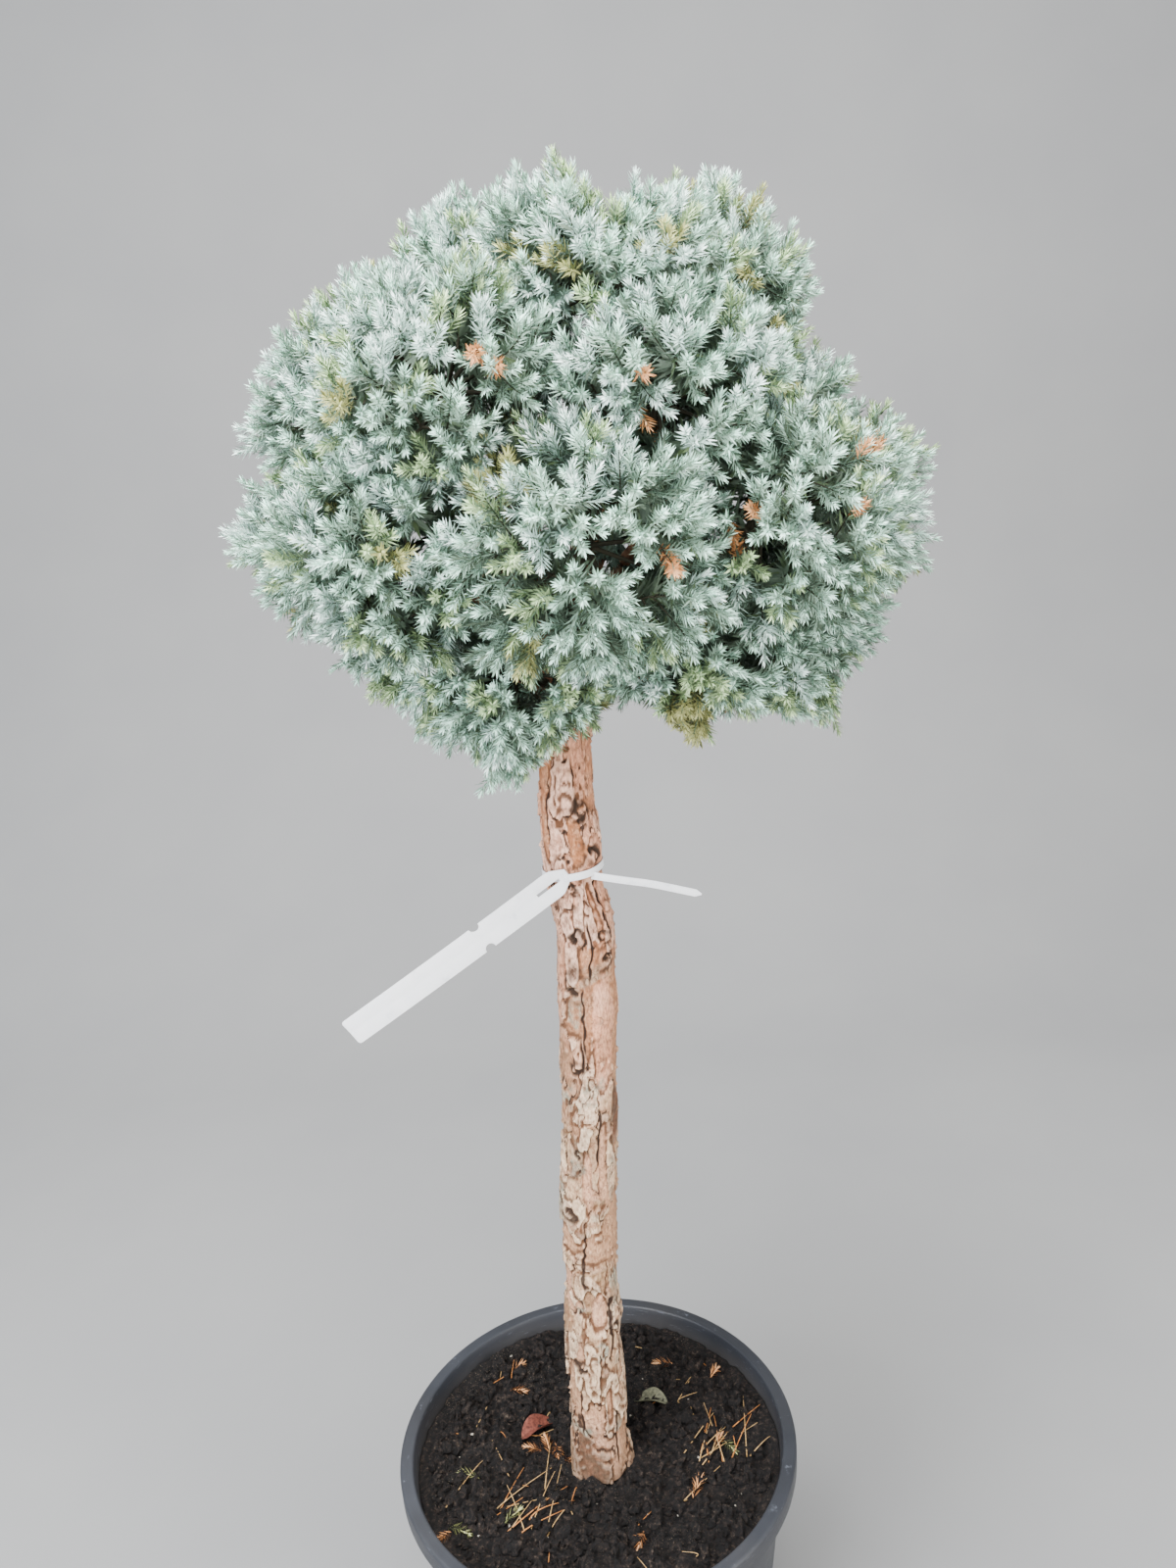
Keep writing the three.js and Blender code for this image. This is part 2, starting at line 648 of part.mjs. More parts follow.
/** The whole plant with its pot. */
function pottedStandard() {
  const plant = new THREE.Group();
  const masses = crownMasses();
  for (const mass of masses) mass.fences = fencesOf(mass, masses);
  for (const mass of masses) mass.bough = boughCurve(mass);

  plant.add(named('pot', potShape(), FINISHES.pot));
  plant.add(named('soil', soilShape(), FINISHES.soil));
  plant.add(named('trunk', trunkShape(), FINISHES.bark));

  const grownTrunk = solidOf(trunkShape(GAP));
  const grownBoughs = masses.map((mass) => solidOf(boughShape(mass, GAP)));
  const probes = masses.map((mass) => Array.from({ length: BOUGH_PROBES + 1 }, (_, k) => ({
    point: mass.bough.getPoint(k / BOUGH_PROBES),
    radius: boughRadius(mass, k / BOUGH_PROBES),
  })));
  for (const mass of masses) {
    const bough = solidOf(boughShape(mass)).subtract(grownTrunk);
    plant.add(named(`bough_${mass.name}`, geometryOf(bough), FINISHES.youngBark));
  }
  masses.forEach((mass, own) => {
    const others = probes.filter((_, i) => i !== own);
    const foliage = massShape(mass, others, grownBoughs);
    plant.add(named(`foliage_${mass.name}`, geometryOf(foliage), FINISHES.needles));
  });

  const tag = solidOf(tagBand()).add(solidOf(tagStrip())).add(solidOf(tagTail())).subtract(grownTrunk);
  plant.add(named('plant_tag', geometryOf(tag), FINISHES.tag));
  return plant;
}

export default pottedStandard();
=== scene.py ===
"""Looks of a potted blue juniper grown as a standard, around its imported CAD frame.

A clear, leaning stem with flaking bark carries a round, unclipped crown of needle shoots
above a plain nursery pot. The crown grows by the same seeded rule as its solids, carried on
to finer twigs and needles within the same reach.

The frame and every finished mesh are in metres. Sizes in this file are millimetres, as in the
rule of the solids, and Shell.build turns them into metres as it makes each mesh.
"""

import logging
import math
from collections.abc import Callable, Iterator
from dataclasses import dataclass
from enum import Enum, IntEnum

import bpy
import numpy as np
from mathutils import Matrix, Vector

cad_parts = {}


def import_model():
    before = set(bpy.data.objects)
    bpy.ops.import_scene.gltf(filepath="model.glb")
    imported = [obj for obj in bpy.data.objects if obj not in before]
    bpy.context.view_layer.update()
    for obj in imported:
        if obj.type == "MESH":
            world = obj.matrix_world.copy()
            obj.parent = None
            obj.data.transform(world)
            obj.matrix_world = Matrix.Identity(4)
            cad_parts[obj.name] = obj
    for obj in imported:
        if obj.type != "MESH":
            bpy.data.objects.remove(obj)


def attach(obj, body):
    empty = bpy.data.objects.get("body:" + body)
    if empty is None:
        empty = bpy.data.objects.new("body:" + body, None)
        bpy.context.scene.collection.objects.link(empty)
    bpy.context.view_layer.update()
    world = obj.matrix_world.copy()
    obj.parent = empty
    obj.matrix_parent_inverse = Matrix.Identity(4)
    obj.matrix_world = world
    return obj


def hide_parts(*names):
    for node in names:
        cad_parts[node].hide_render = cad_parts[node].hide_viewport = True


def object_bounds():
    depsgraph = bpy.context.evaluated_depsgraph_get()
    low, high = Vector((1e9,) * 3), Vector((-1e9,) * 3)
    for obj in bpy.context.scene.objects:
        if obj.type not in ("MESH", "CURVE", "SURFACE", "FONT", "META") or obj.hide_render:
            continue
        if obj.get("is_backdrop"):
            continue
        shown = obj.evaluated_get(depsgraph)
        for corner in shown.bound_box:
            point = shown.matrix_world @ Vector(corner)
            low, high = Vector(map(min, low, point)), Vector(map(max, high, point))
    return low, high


Array = np.ndarray
Socket = bpy.types.NodeSocket
Material = bpy.types.Material
Point = tuple[float, float, float]
Spot = tuple[float, ...]
Stops = tuple[tuple[float, int], ...]
Tube = tuple[float, float, int, int, int]
Span = tuple[float, float]
Rng = np.random.Generator

MM = 0.001
FULL_TURN = 2 * math.pi
GOLDEN_TURN = math.pi * (3 - math.sqrt(5))
UP = np.array([0.0, 0.0, 1.0])
RIGHT = np.array([1.0, 0.0, 0.0])
BODY = "root"

log = logging.getLogger("juniper")


class Slot(Enum):
    """The material slots."""

    POT = "pot"
    SOIL = "soil"
    BARK = "bark"
    YOUNG_BARK = "young_bark"
    NEEDLES = "needles"
    TAG = "tag"


class Tone(IntEnum):
    """Which of a tint's four colours a needle takes: the pale young tip, which also stands for a painted
    highlight, then painted lit, painted half-shaded and painted shaded copies of one colour; the shaded copy
    is also the darker colour of old needles.
    """

    TIP = 0
    LIGHT = 1
    MID = 2
    DEEP = 3


class Tint(IntEnum):
    """The kinds of spray in the crown, by the order of their colours."""

    BLUE = 0
    FROST = 1
    GREEN = 2
    OLIVE = 3
    DEAD = 4


def unit(vectors: Array) -> Array:
    """Vectors of length one.

    Args:
        vectors: Vectors along the last axis.

    Returns:
        The same directions with length one.
    """
    return vectors / np.linalg.norm(vectors, axis=-1, keepdims=True)


def square_to(along: Array) -> Array:
    """Unit vectors square to the ones given.

    Args:
        along: Unit vectors along the last axis.

    Returns:
        One square unit vector for each.
    """
    steep = np.abs(along[..., 2:3]) >= 0.8
    other = np.where(steep, RIGHT, UP)
    return unit(other - along * np.sum(other * along, axis=-1, keepdims=True))


def turned(side: Array, along: Array, angle: Array | float) -> Array:
    """Square vectors turned about the direction that they are square to.

    Args:
        side: Unit vectors square to along.
        along: Unit vectors to turn about.
        angle: Angles in radians.

    Returns:
        The turned unit vectors.
    """
    angle = np.asarray(angle)[..., None]
    return side * np.cos(angle) + np.cross(along, side) * np.sin(angle)


def eased(low: float, high: float, value: Array) -> Array:
    """A smooth step from 0 at low to 1 at high.

    Args:
        low: Where the step starts.
        high: Where the step ends.
        value: Values to ease.

    Returns:
        Values from 0 to 1.
    """
    share = np.clip((value - low) / (high - low), 0, 1)
    return share * share * (3 - 2 * share)


def xyz(x: Array | float, y: Array | float, z: Array | float) -> Array:
    """Points or directions from their three parts."""
    return np.stack(np.broadcast_arrays(x, y, z), axis=-1)


def compass(bearing: Array, rise: float = 0.0) -> Array:
    """Level directions at some bearings in radians, with a rise."""
    return xyz(np.cos(bearing), np.sin(bearing), rise)


def seeded(seed: int) -> Callable[[], float]:
    """Repeatable random numbers, the same ones as in the rule of the solids.

    Args:
        seed: Where the row of numbers starts.

    Returns:
        A function that gives the next number from 0 to 1.
    """
    mask = 0xFFFFFFFF
    state = seed

    def draw() -> float:
        """The next number from 0 to 1."""
        nonlocal state
        state = (state + 0x6D2B79F5) & mask
        word = state
        word = ((word ^ (word >> 15)) * (word | 1)) & mask
        word ^= (word + (((word ^ (word >> 7)) * (word | 61)) & mask)) & mask
        return (word ^ (word >> 14)) / (mask + 1)

    return draw


class Waves:
    """Smooth repeatable noise over a plane, which can wrap round a stem."""

    ROWS = 64

    def __init__(self, seed: int, columns: int = 64) -> None:
        """Draws the noise's table.

        Args:
            seed: Seed of the table.
            columns: After how many cells across the noise repeats.
        """
        self.table = np.random.default_rng(seed).uniform(-1, 1, (self.ROWS, columns))

    def at(self, u: Array, v: Array) -> Array:
        """The noise at some places.

        Args:
            u: Places across, in cells.
            v: Places up, in cells.

        Returns:
            Values from -1 to 1.
        """
        rows, columns = self.table.shape
        left, low = np.floor(u).astype(int), np.floor(v).astype(int)
        across, up = eased(0, 1, u - left), eased(0, 1, v - low)
        west, east = left % columns, (left + 1) % columns
        south, north = low % rows, (low + 1) % rows
        lower = self.table[south, west] * (1 - across) + self.table[south, east] * across
        upper = self.table[north, west] * (1 - across) + self.table[north, east] * across
        return lower * (1 - up) + upper * up


@dataclass
class Cells:
    """The flakes that lie nearest to some places."""

    edge: Array
    tilt: Array
    tone: Array
    draw: Array
    next_draw: Array


def cells_at(u: Array, v: Array, columns: int, seed: int) -> Cells:
    """A pattern of irregular flakes on a sheet that wraps round after some columns.

    Args:
        u: Places across, in flakes.
        v: Places up, in flakes.
        columns: How many flakes go round.
        seed: Seed of the flakes.

    Returns:
        How far each place is from its flake's edge, and the numbers drawn for the flake.
    """
    jitter = 0.9
    rows = int(v.max()) + 4
    draws = np.random.default_rng(seed).random((rows, columns, 5))
    near = np.full(u.shape, 9.0)
    second, next_draw = near.copy(), near.copy()
    found = np.zeros(u.shape + (3,))
    left, low = np.floor(u).astype(int), np.floor(v).astype(int)
    for row in (-1, 0, 1):
        for column in (-1, 0, 1):
            own = draws[np.clip(low + row + 1, 0, rows - 1), (left + column) % columns]
            away_u = u - (left + column + 0.5 + jitter * (own[..., 0] - 0.5))
            away_v = v - (low + row + 0.5 + jitter * (own[..., 1] - 0.5))
            away = np.hypot(away_u, away_v)
            nearer, next_near = away < near, away < second
            next_draw = np.where(nearer, found[..., 2], np.where(next_near, own[..., 4], next_draw))
            second = np.where(nearer, near, np.where(next_near, away, second))
            lean = own[..., 2] * FULL_TURN
            tilt = away_u * np.cos(lean) + away_v * np.sin(lean)
            values = np.stack([tilt, own[..., 3], own[..., 4]], axis=-1)
            found = np.where(nearer[..., None], values, found)
            near = np.where(nearer, away, near)
    return Cells(second - near, found[..., 0], found[..., 1], found[..., 2], next_draw)


def sheet_faces(rows: int, columns: int, wraps: bool = False) -> Array:
    """Quads between neighbouring points of a sheet.

    Args:
        rows: How many rows of points there are.
        columns: How many points a row has.
        wraps: Whether the last column joins the first.

    Returns:
        Four point numbers for each quad.
    """
    row = np.arange(rows - 1)[:, None]
    column = np.arange(columns if wraps else columns - 1)[None, :]
    beside = (column + 1) % columns
    low, high = row * columns, (row + 1) * columns
    return np.stack([low + column, low + beside, high + beside, high + column], axis=-1).reshape(-1, 4)


def repeated(faces: Array, copies: int, step: int) -> Array:
    """The same faces for each of several copies of the same number of points."""
    return (faces + step * np.arange(copies)[:, None, None]).reshape(-1, faces.shape[-1])


@dataclass
class Axes:
    """Curved axes of one generation of twigs or shoots: root, bend and tip of each."""

    root: Array
    bend: Array
    tip: Array

    def kept(self, keep: Array) -> "Axes":
        """The axes picked by a mask or by numbers."""
        return Axes(self.root[keep], self.bend[keep], self.tip[keep])

    def moved(self, move: Callable[[Array], Array]) -> "Axes":
        """The axes after their points have been moved."""
        return Axes(move(self.root), move(self.bend), move(self.tip))

    def joined(self, other: "Axes") -> "Axes":
        """These axes and others."""
        pairs = ((self.root, other.root), (self.bend, other.bend), (self.tip, other.tip))
        return Axes(*(np.concatenate(pair) for pair in pairs))

    def point(self, share: Array) -> Array:
        """Points on the axes at shares from root to tip."""
        share = np.asarray(share)[..., None]
        return (1 - share) ** 2 * self.root + 2 * share * (1 - share) * self.bend + share**2 * self.tip

    def along(self, share: Array) -> Array:
        """Directions of the axes at shares from root to tip."""
        share = np.asarray(share)[..., None]
        return unit((1 - share) * (self.bend - self.root) + share * (self.tip - self.bend))

    def length(self) -> Array:
        """Rough lengths of the axes."""
        chord = np.linalg.norm(self.tip - self.root, axis=-1)
        legs = np.linalg.norm(self.bend - self.root, axis=-1) + np.linalg.norm(self.tip - self.bend, axis=-1)
        return (2 * chord + legs) / 3


def straight(root: Array, tip: Array, shift: Array | float = 0.0) -> Axes:
    """Straight axes, or curved ones whose bends are shifted from their middles."""
    return Axes(root, (root + tip) / 2 + shift, tip)


class Shell:
    """Points and faces of one piece, gathered from arrays."""

    def __init__(self) -> None:
        """Starts an empty piece."""
        self.points: list[Array] = []
        self.faces: list[Array] = []
        self.finishes: list[Array] = []
        self.fields: dict[str, list[Array]] = {}
        self.count = 0

    def add(self, points: Array, faces: Array, finish: Array | int = 0, **fields: Array) -> None:
        """Adds points and faces.

        Args:
            points: Places in millimetres.
            faces: Point numbers of each face, counted from these points.
            finish: The number of the finish, for all or for each face.
            fields: Named values at the points, which the finish can read.
        """
        points = np.reshape(points, (-1, 3))
        self.points.append(points)
        self.faces.append(faces + self.count)
        self.finishes.append(np.broadcast_to(finish, len(faces)))
        for name, values in fields.items():
            self.fields.setdefault(name, []).append(np.broadcast_to(np.ravel(values), len(points)))
        self.count += len(points)

    def tubes(
        self,
        axes: Axes,
        thick: Array | float,
        thin: Array | float,
        sides: int,
        steps: int,
        finish: Array | int = 0,
    ) -> None:
        """Adds tapering twigs.

        Args:
            axes: The twigs' axes.
            thick: Radius at the root.
            thin: Radius at the tip.
            sides: How many sides a twig has.
            steps: How many lengths a twig is made of.
            finish: The number of the finish, for all or for each twig.
        """
        count = len(axes.root)
        share = np.linspace(0, 1, steps + 1)[:, None]
        middle, along = axes.point(share), axes.along(share)
        side = square_to(along[0])
        rings = []
        radius = np.broadcast_to(thick, count) * (1 - share) + np.broadcast_to(thin, count) * share
        turn = FULL_TURN * np.arange(sides) / sides
        for step in range(steps + 1):
            side = unit(side - along[step] * np.sum(side * along[step], axis=-1, keepdims=True))
            around = turned(side[:, None], along[step][:, None], turn)
            rings.append(middle[step][:, None] + around * radius[step][:, None, None])
        pattern = sheet_faces(steps + 1, sides, wraps=True)
        finish = np.repeat(np.broadcast_to(finish, count), len(pattern))
        self.add(np.stack(rings, axis=1), repeated(pattern, count, (steps + 1) * sides), finish)

    def build(self, name: str, finishes: list[Material], smooth: bool = True) -> bpy.types.Object:
        """Makes the mesh and its object.

        Args:
            name: The piece's name.
            finishes: Its finishes, in the order of their numbers.
            smooth: Whether its faces shade smoothly.

        Returns:
            The piece's object.
        """
        mesh = bpy.data.meshes.new(name)
        places = np.concatenate(self.points) * MM
        corners = np.concatenate([faces.ravel() for faces in self.faces])
        sizes = np.concatenate([np.full(len(faces), faces.shape[1]) for faces in self.faces])
        mesh.vertices.add(self.count)
        mesh.vertices.foreach_set("co", places.astype(np.float32).ravel())
        mesh.loops.add(len(corners))
        mesh.loops.foreach_set("vertex_index", corners.astype(np.int32))
        mesh.polygons.add(len(sizes))
        mesh.polygons.foreach_set("loop_start", (np.cumsum(sizes) - sizes).astype(np.int32))
        mesh.polygons.foreach_set("material_index", np.concatenate(self.finishes).astype(np.int32))
        mesh.polygons.foreach_set("use_smooth", np.full(len(sizes), smooth))
        mesh.update(calc_edges=True)
        for field, values in self.fields.items():
            attribute = mesh.attributes.new(field, "FLOAT", "POINT")
            attribute.data.foreach_set("value", np.concatenate(values).astype(np.float32))
        for finish in finishes:
            mesh.materials.append(finish)
        piece = bpy.data.objects.new(name, mesh)
        bpy.context.scene.collection.objects.link(piece)
        return piece


def place(piece: bpy.types.Object, slot: Slot, *nodes: str) -> None:
    """Puts a piece on the frame and reports it.

    Args:
        piece: The piece's object.
        slot: The material slot that its finish comes from; not used.
        nodes: CAD nodes that it stands for.
    """
    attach(piece, BODY)
    if nodes:
        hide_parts(*nodes)
    log.info("%s: %d faces", piece.name, len(piece.data.polygons))


def modify(piece: bpy.types.Object, kind: str, **settings: object) -> None:
    """Changes a piece's mesh by a modifier, which is applied at once.

    Args:
        piece: The piece's object.
        kind: The modifier's type.
        settings: The modifier's own settings.
    """
    modifier = piece.modifiers.new(kind.lower(), kind)
    for name, value in settings.items():
        setattr(modifier, name, value)
    bpy.context.view_layer.objects.active = piece
    bpy.ops.object.modifier_apply(modifier=modifier.name)


def linear(colour: int) -> tuple[float, float, float, float]:
    """A colour for a shader.

    Args:
        colour: Red, green and blue as one hexadecimal number, as on a screen.

    Returns:
        Linear red, green, blue and alpha.
    """
    shares = [(colour >> shift & 0xFF) / 0xFF for shift in (16, 8, 0)]
    bright = [c / 12.92 if c <= 0.04045 else ((c + 0.055) / 1.055) ** 2.4 for c in shares]
    return (bright[0], bright[1], bright[2], 1.0)


class Paint:
    """A node material, built step by step."""

    def __init__(self, name: str, roughness: float, specular: float = 0.5) -> None:
        """Starts a material.

        Args:
            name: The material's name.
            roughness: Its even roughness.
            specular: Its specular level.
        """
        self.material = bpy.data.materials.new(name)
        self.material.use_nodes = True
        self.tree = self.material.node_tree
        self.shader = self.tree.nodes["Principled BSDF"]
        self.shader.inputs["Roughness"].default_value = roughness
        self.shader.inputs["Specular IOR Level"].default_value = specular

    def node(self, kind: str, inputs: dict[str | int, object], **settings: object) -> bpy.types.Node:
        """Adds a node.

        Args:
            kind: The node's type.
            inputs: Values or sockets for its inputs, by name or number.
            settings: Its own settings.

        Returns:
            The node.
        """
        node = self.tree.nodes.new(kind)
        for name, value in settings.items():
            setattr(node, name, value)
        for name, value in inputs.items():
            if isinstance(value, bpy.types.NodeSocket):
                self.tree.links.new(value, node.inputs[name])
            else:
                node.inputs[name].default_value = value
        return node

    def place(self, stretch: Point = (1, 1, 1)) -> Socket:
        """Object coordinates in metres, stretched."""
        inputs = {"Vector": self.node("ShaderNodeTexCoord", {}).outputs["Object"], "Scale": stretch}
        return self.node("ShaderNodeMapping", inputs).outputs["Vector"]

    def noise(
        self, scale: float, detail: float = 4, roughness: float = 0.55, stretch: Point = (1, 1, 1)
    ) -> Socket:
        """Noise from 0 to 1, with so many waves to a metre."""
        inputs = {"Vector": self.place(stretch), "Scale": scale, "Detail": detail, "Roughness": roughness}
        return self.node("ShaderNodeTexNoise", inputs).outputs["Fac"]

    def specks(self, scale: float) -> Socket:
        """The distance from the nearest of scattered points, with so many to a metre."""
        return self.node("ShaderNodeTexVoronoi", {"Vector": self.place(), "Scale": scale}).outputs["Distance"]

    def cracks(self, scale: float, stretch: Point, bend: float) -> Socket:
        """Many crooked lines, as between the cells of a cracked surface.

        Args:
            scale: How many cells there are to a metre.
            stretch: How much closer they lie along each axis.
            bend: How far the lines stray.

        Returns:
            The distance from the nearest line.
        """
        inputs = {"Vector": self.place(), "Scale": scale * 0.7, "Detail": 4.0}
        wander = self.node("ShaderNodeTexNoise", inputs).outputs["Color"]
        inputs = {0: wander, 1: (bend, bend, bend), 2: self.place(stretch)}
        bent = self.node("ShaderNodeVectorMath", inputs, operation="MULTIPLY_ADD").outputs["Vector"]
        inputs = {"Vector": bent, "Scale": scale}
        return self.node("ShaderNodeTexVoronoi", inputs, feature="DISTANCE_TO_EDGE").outputs["Distance"]

    def field(self, name: str) -> Socket:
        """A named value at the mesh's points."""
        return self.node("ShaderNodeAttribute", {}, attribute_name=name).outputs["Fac"]

    def ramp(self, factor: Socket, *stops: tuple[float, int]) -> Socket:
        """Colours along a factor.

        Args:
            factor: The factor.
            stops: Where each colour is, from 0 to 1, and the colour.

        Returns:
            The colour.
        """
        node = self.node("ShaderNodeValToRGB", {"Fac": factor})
        elements = node.color_ramp.elements
        while len(elements) < len(stops):
            elements.new(1.0)
        for element, (position, colour) in zip(elements, stops):
            element.position = position
            element.color = linear(colour)
        return node.outputs["Color"]

    def span(self, factor: Socket, low: float, high: float, start: float = 0, end: float = 1) -> Socket:
        """A factor stretched from one range to another, and kept in it."""
        inputs = {"Value": factor, "From Min": low, "From Max": high, "To Min": start, "To Max": end}
        return self.node("ShaderNodeMapRange", inputs).outputs["Result"]

    def mixed(self, factor: Socket, low: Socket | int, high: Socket | int, blend: str = "MIX") -> Socket:
        """Two colours mixed by a factor.

        Args:
            factor: How much there is of the second colour.
            low: The first colour.
            high: The second colour.
            blend: How the second colour is laid over the first.

        Returns:
            The mixed colour.
        """
        node = self.node("ShaderNodeMix", {0: factor}, data_type="RGBA", blend_type=blend)
        for number, value in ((6, low), (7, high)):
            if isinstance(value, int):
                node.inputs[number].default_value = linear(value)
            else:
                self.tree.links.new(value, node.inputs[number])
        return node.outputs[2]

    def covered(self, below: Socket, name: str, most: float, colour: int) -> Socket:
        """A colour laid over another, at most so far, where a field is high."""
        return self.mixed(self.span(self.field(name), 0, 1, 0, most), below, colour)

    def sum(self, first: Socket, second: Socket | float, operation: str = "ADD") -> Socket:
        """Two values put together by an operation."""
        return self.node("ShaderNodeMath", {0: first, 1: second}, operation=operation).outputs["Value"]

    def product(self, first: Socket, second: Socket | float) -> Socket:
        """Two values multiplied."""
        return self.sum(first, second, "MULTIPLY")

    def finish(
        self,
        colour: Socket | int,
        roughness: Socket | None = None,
        height: Socket | None = None,
        depth: float = 0,
    ) -> Material:
        """Joins the last sockets to the shader.

        Args:
            colour: The base colour.
            roughness: The roughness where it varies.
            height: The height that the bump reads, where there is one.
            depth: How deep the bump is, in metres.

        Returns:
            The material.
        """
        if isinstance(colour, int):
            self.shader.inputs["Base Color"].default_value = linear(colour)
            self.material.diffuse_color = linear(colour)
        else:
            self.tree.links.new(colour, self.shader.inputs["Base Color"])
        if roughness is not None:
            self.tree.links.new(roughness, self.shader.inputs["Roughness"])
        if height is not None:
            bump = self.node("ShaderNodeBump", {"Strength": 1.0, "Distance": depth, "Height": height})
            self.tree.links.new(bump.outputs["Normal"], self.shader.inputs["Normal"])
        return self.material


@dataclass(frozen=True)
class SprayColours:
    """The plain colours of one kind of spray, dealt out needle by needle: a pale young tip that is also a
    painted highlight, and painted lit, half-shaded and shaded copies of one colour.
    """

    name: str
    tip: int
    # Painted light and shade: light, mid and deep are lit, half-shaded and shaded copies of one colour, and
    # deep is also the colour of old needles.
    light: int
    mid: int
    deep: int
    roughness: float = 0.55

    def build(self) -> list[Material]:
        """The four finishes, in the order of Tone."""
        return [
            Paint(f"needles_{self.name}_{tone.name.lower()}", self.roughness, 0.35).finish(colour)
            for tone, colour in zip(Tone, (self.tip, self.light, self.mid, self.deep))
        ]


# Each kind's pale tip, then its painted lit, half-shaded and shaded copies of one needle colour.
SPRAYS = (
    SprayColours("blue", 0xD8FCEC, 0x8EAA98, 0x6A7B69, 0x5A6B5A),
    SprayColours("frost", 0xEEFFF8, 0xAAC4BA, 0x768C80, 0x627668),
    SprayColours("green", 0xD0E8B6, 0x889F74, 0x647852, 0x506246),
    SprayColours("olive", 0xBEC086, 0x989A62, 0x6C7044, 0x4C5036),
    SprayColours("dead", 0xDCA878, 0xCB8F5C, 0xA56E42, 0x6E4628),
)


@dataclass(frozen=True)
class TwigFinish:
    """Thin young bark, plain as it lies among the needles, and green on the last shoots."""

    bark: int = 0x3C3A2E
    shoot: int = 0x6B8672
    roughness: float = 0.8

    def build(self) -> list[Material]:
        """The materials of twigs and of shoots."""
        return [
            Paint("twig_bark", self.roughness, 0.2).finish(self.bark),
            Paint("shoot_bark", self.roughness, 0.2).finish(self.shoot),
        ]


@dataclass(frozen=True)
class BarkFinish:
    """Flaking bark: cream, tan and pink flakes, dark cracks with painted shadow along the flakes' edges,
    salmon under-bark and rough scars, with painted shade in hollows, a painted highlight on ridges, and pink
    upper bark painted lighter against the crown's shade.
    """

    tan_flakes: Stops = ((0, 0x624C3C), (0.22, 0xA28260), (0.5, 0xD8B894), (0.8, 0xEED6B6), (1, 0x7C6852))
    # Pink flakes, also lightened as painted light against the shade that the crown casts on the upper trunk.
    pink_flakes: Stops = ((0, 0x9A664C), (0.2, 0xECAC8A), (0.5, 0xFFC6A8), (0.8, 0xFFD2B8), (1, 0xC08A6A))
    salmon: Stops = ((0.36, 0xECA682), (0.47, 0xFCB896), (0.56, 0xFFC4A6), (0.66, 0xEEAA80))
    rusty: Stops = ((0.35, 0x9C603C), (0.5, 0xC8885E), (0.66, 0xE6AE86))
    mottle: int = 0xB47C5C
    low_under_bark: int = 0xC4A484
    lichen: int = 0xA5A592
    grain: int = 0x8A6450
    # Painted shade for the relief's hollows, and a painted highlight for its ridges.
    hollow: int = 0x5C3C28
    ridge: int = 0xFFDCC0
    fine_line: int = 0x7A5540
    # Dark cracks, and painted shadow along the lifted edges of flakes.
    crack: int = 0x2E1E16
    scar: int = 0x33251C
    damp: int = 0x4A3B2E

    def build(self) -> Material:
        """The material of the trunk."""
        paint = Paint("flaking_bark", 0.82, 0.25)
        broad = paint.noise(16, detail=3)
        mid = paint.noise(90, detail=5, roughness=0.6)
        fine = paint.noise(480, detail=5, roughness=0.65, stretch=(1, 1, 0.45))
        tone, blush = paint.field("tone"), paint.field("blush")
        # Pinker bark higher up, its own colour, and painted lighter there against the crown's shade.
        flakes = paint.mixed(blush, paint.ramp(tone, *self.tan_flakes), paint.ramp(tone, *self.pink_flakes))
        mottled = paint.mixed(paint.span(mid, 0.46, 0.68, 0, 0.6), flakes, self.mottle)
        salmon, rusty = paint.ramp(broad, *self.salmon), paint.ramp(mid, *self.rusty)
        bright = paint.mixed(paint.field("rust"), salmon, rusty)
        under = paint.mixed(paint.span(blush, 0, 1, 0.4, 1), self.low_under_bark, bright)
        skin = paint.mixed(paint.field("peel"), mottled, under)
        lichen = paint.product(paint.field("lichen"), paint.span(mid, 0.4, 0.6))
        grown = paint.mixed(lichen, skin, self.lichen)
        grain = paint.mixed(paint.span(fine, 0.35, 0.6, 0.6, 0), grown, self.grain, blend="MULTIPLY")
        # Painted shade darkens the relief's hollows and a painted highlight lightens its ridges.
        raised = paint.covered(paint.covered(grain, "hollow", 0.92, self.hollow), "ridge", 0.2, self.ridge)
        lines = paint.span(paint.cracks(170, (1, 1, 0.36), 0.012), 0, 0.06, 1, 0)
        light_lines = paint.product(lines, paint.span(mid, 0.48, 0.62, 0, 0.6))
        lined = paint.mixed(light_lines, raised, self.fine_line)
        # Darkens the cracks, partly their own dark colour and partly painted shadow under lifted flake edges.
        cracked = paint.mixed(paint.span(paint.field("crack"), 0.06, 0.6, 0, 0.95), lined, self.crack)
        scarred = paint.mixed(paint.field("scar"), cracked, self.scar)
        rough = paint.span(fine, 0.2, 0.8, 0.7, 0.95)
        height = paint.sum(paint.sum(fine, paint.product(mid, 1.2)), light_lines, "SUBTRACT")
        return paint.finish(paint.covered(scarred, "damp", 0.6, self.damp), rough, height, 0.0013)


@dataclass(frozen=True)
class StreakFinish:
    """A dull surface with streaks of a few colours, such as young bark or dry litter.

    Its waves are so many to a metre, and have a detail and a roughness.
    """

    name: str
    stops: Stops
    roughness: float = 0.75
    specular: float = 0.3
    waves: Spot = (300, 4, 0.6)
    stretch: Point = (1, 1, 1)
    depth: float = 0.0004

    def build(self) -> Material:
        """The material."""
        paint = Paint(self.name, self.roughness, self.specular)
        streaks = paint.noise(*self.waves, self.stretch)
        return paint.finish(paint.ramp(streaks, *self.stops), None, streaks, self.depth)


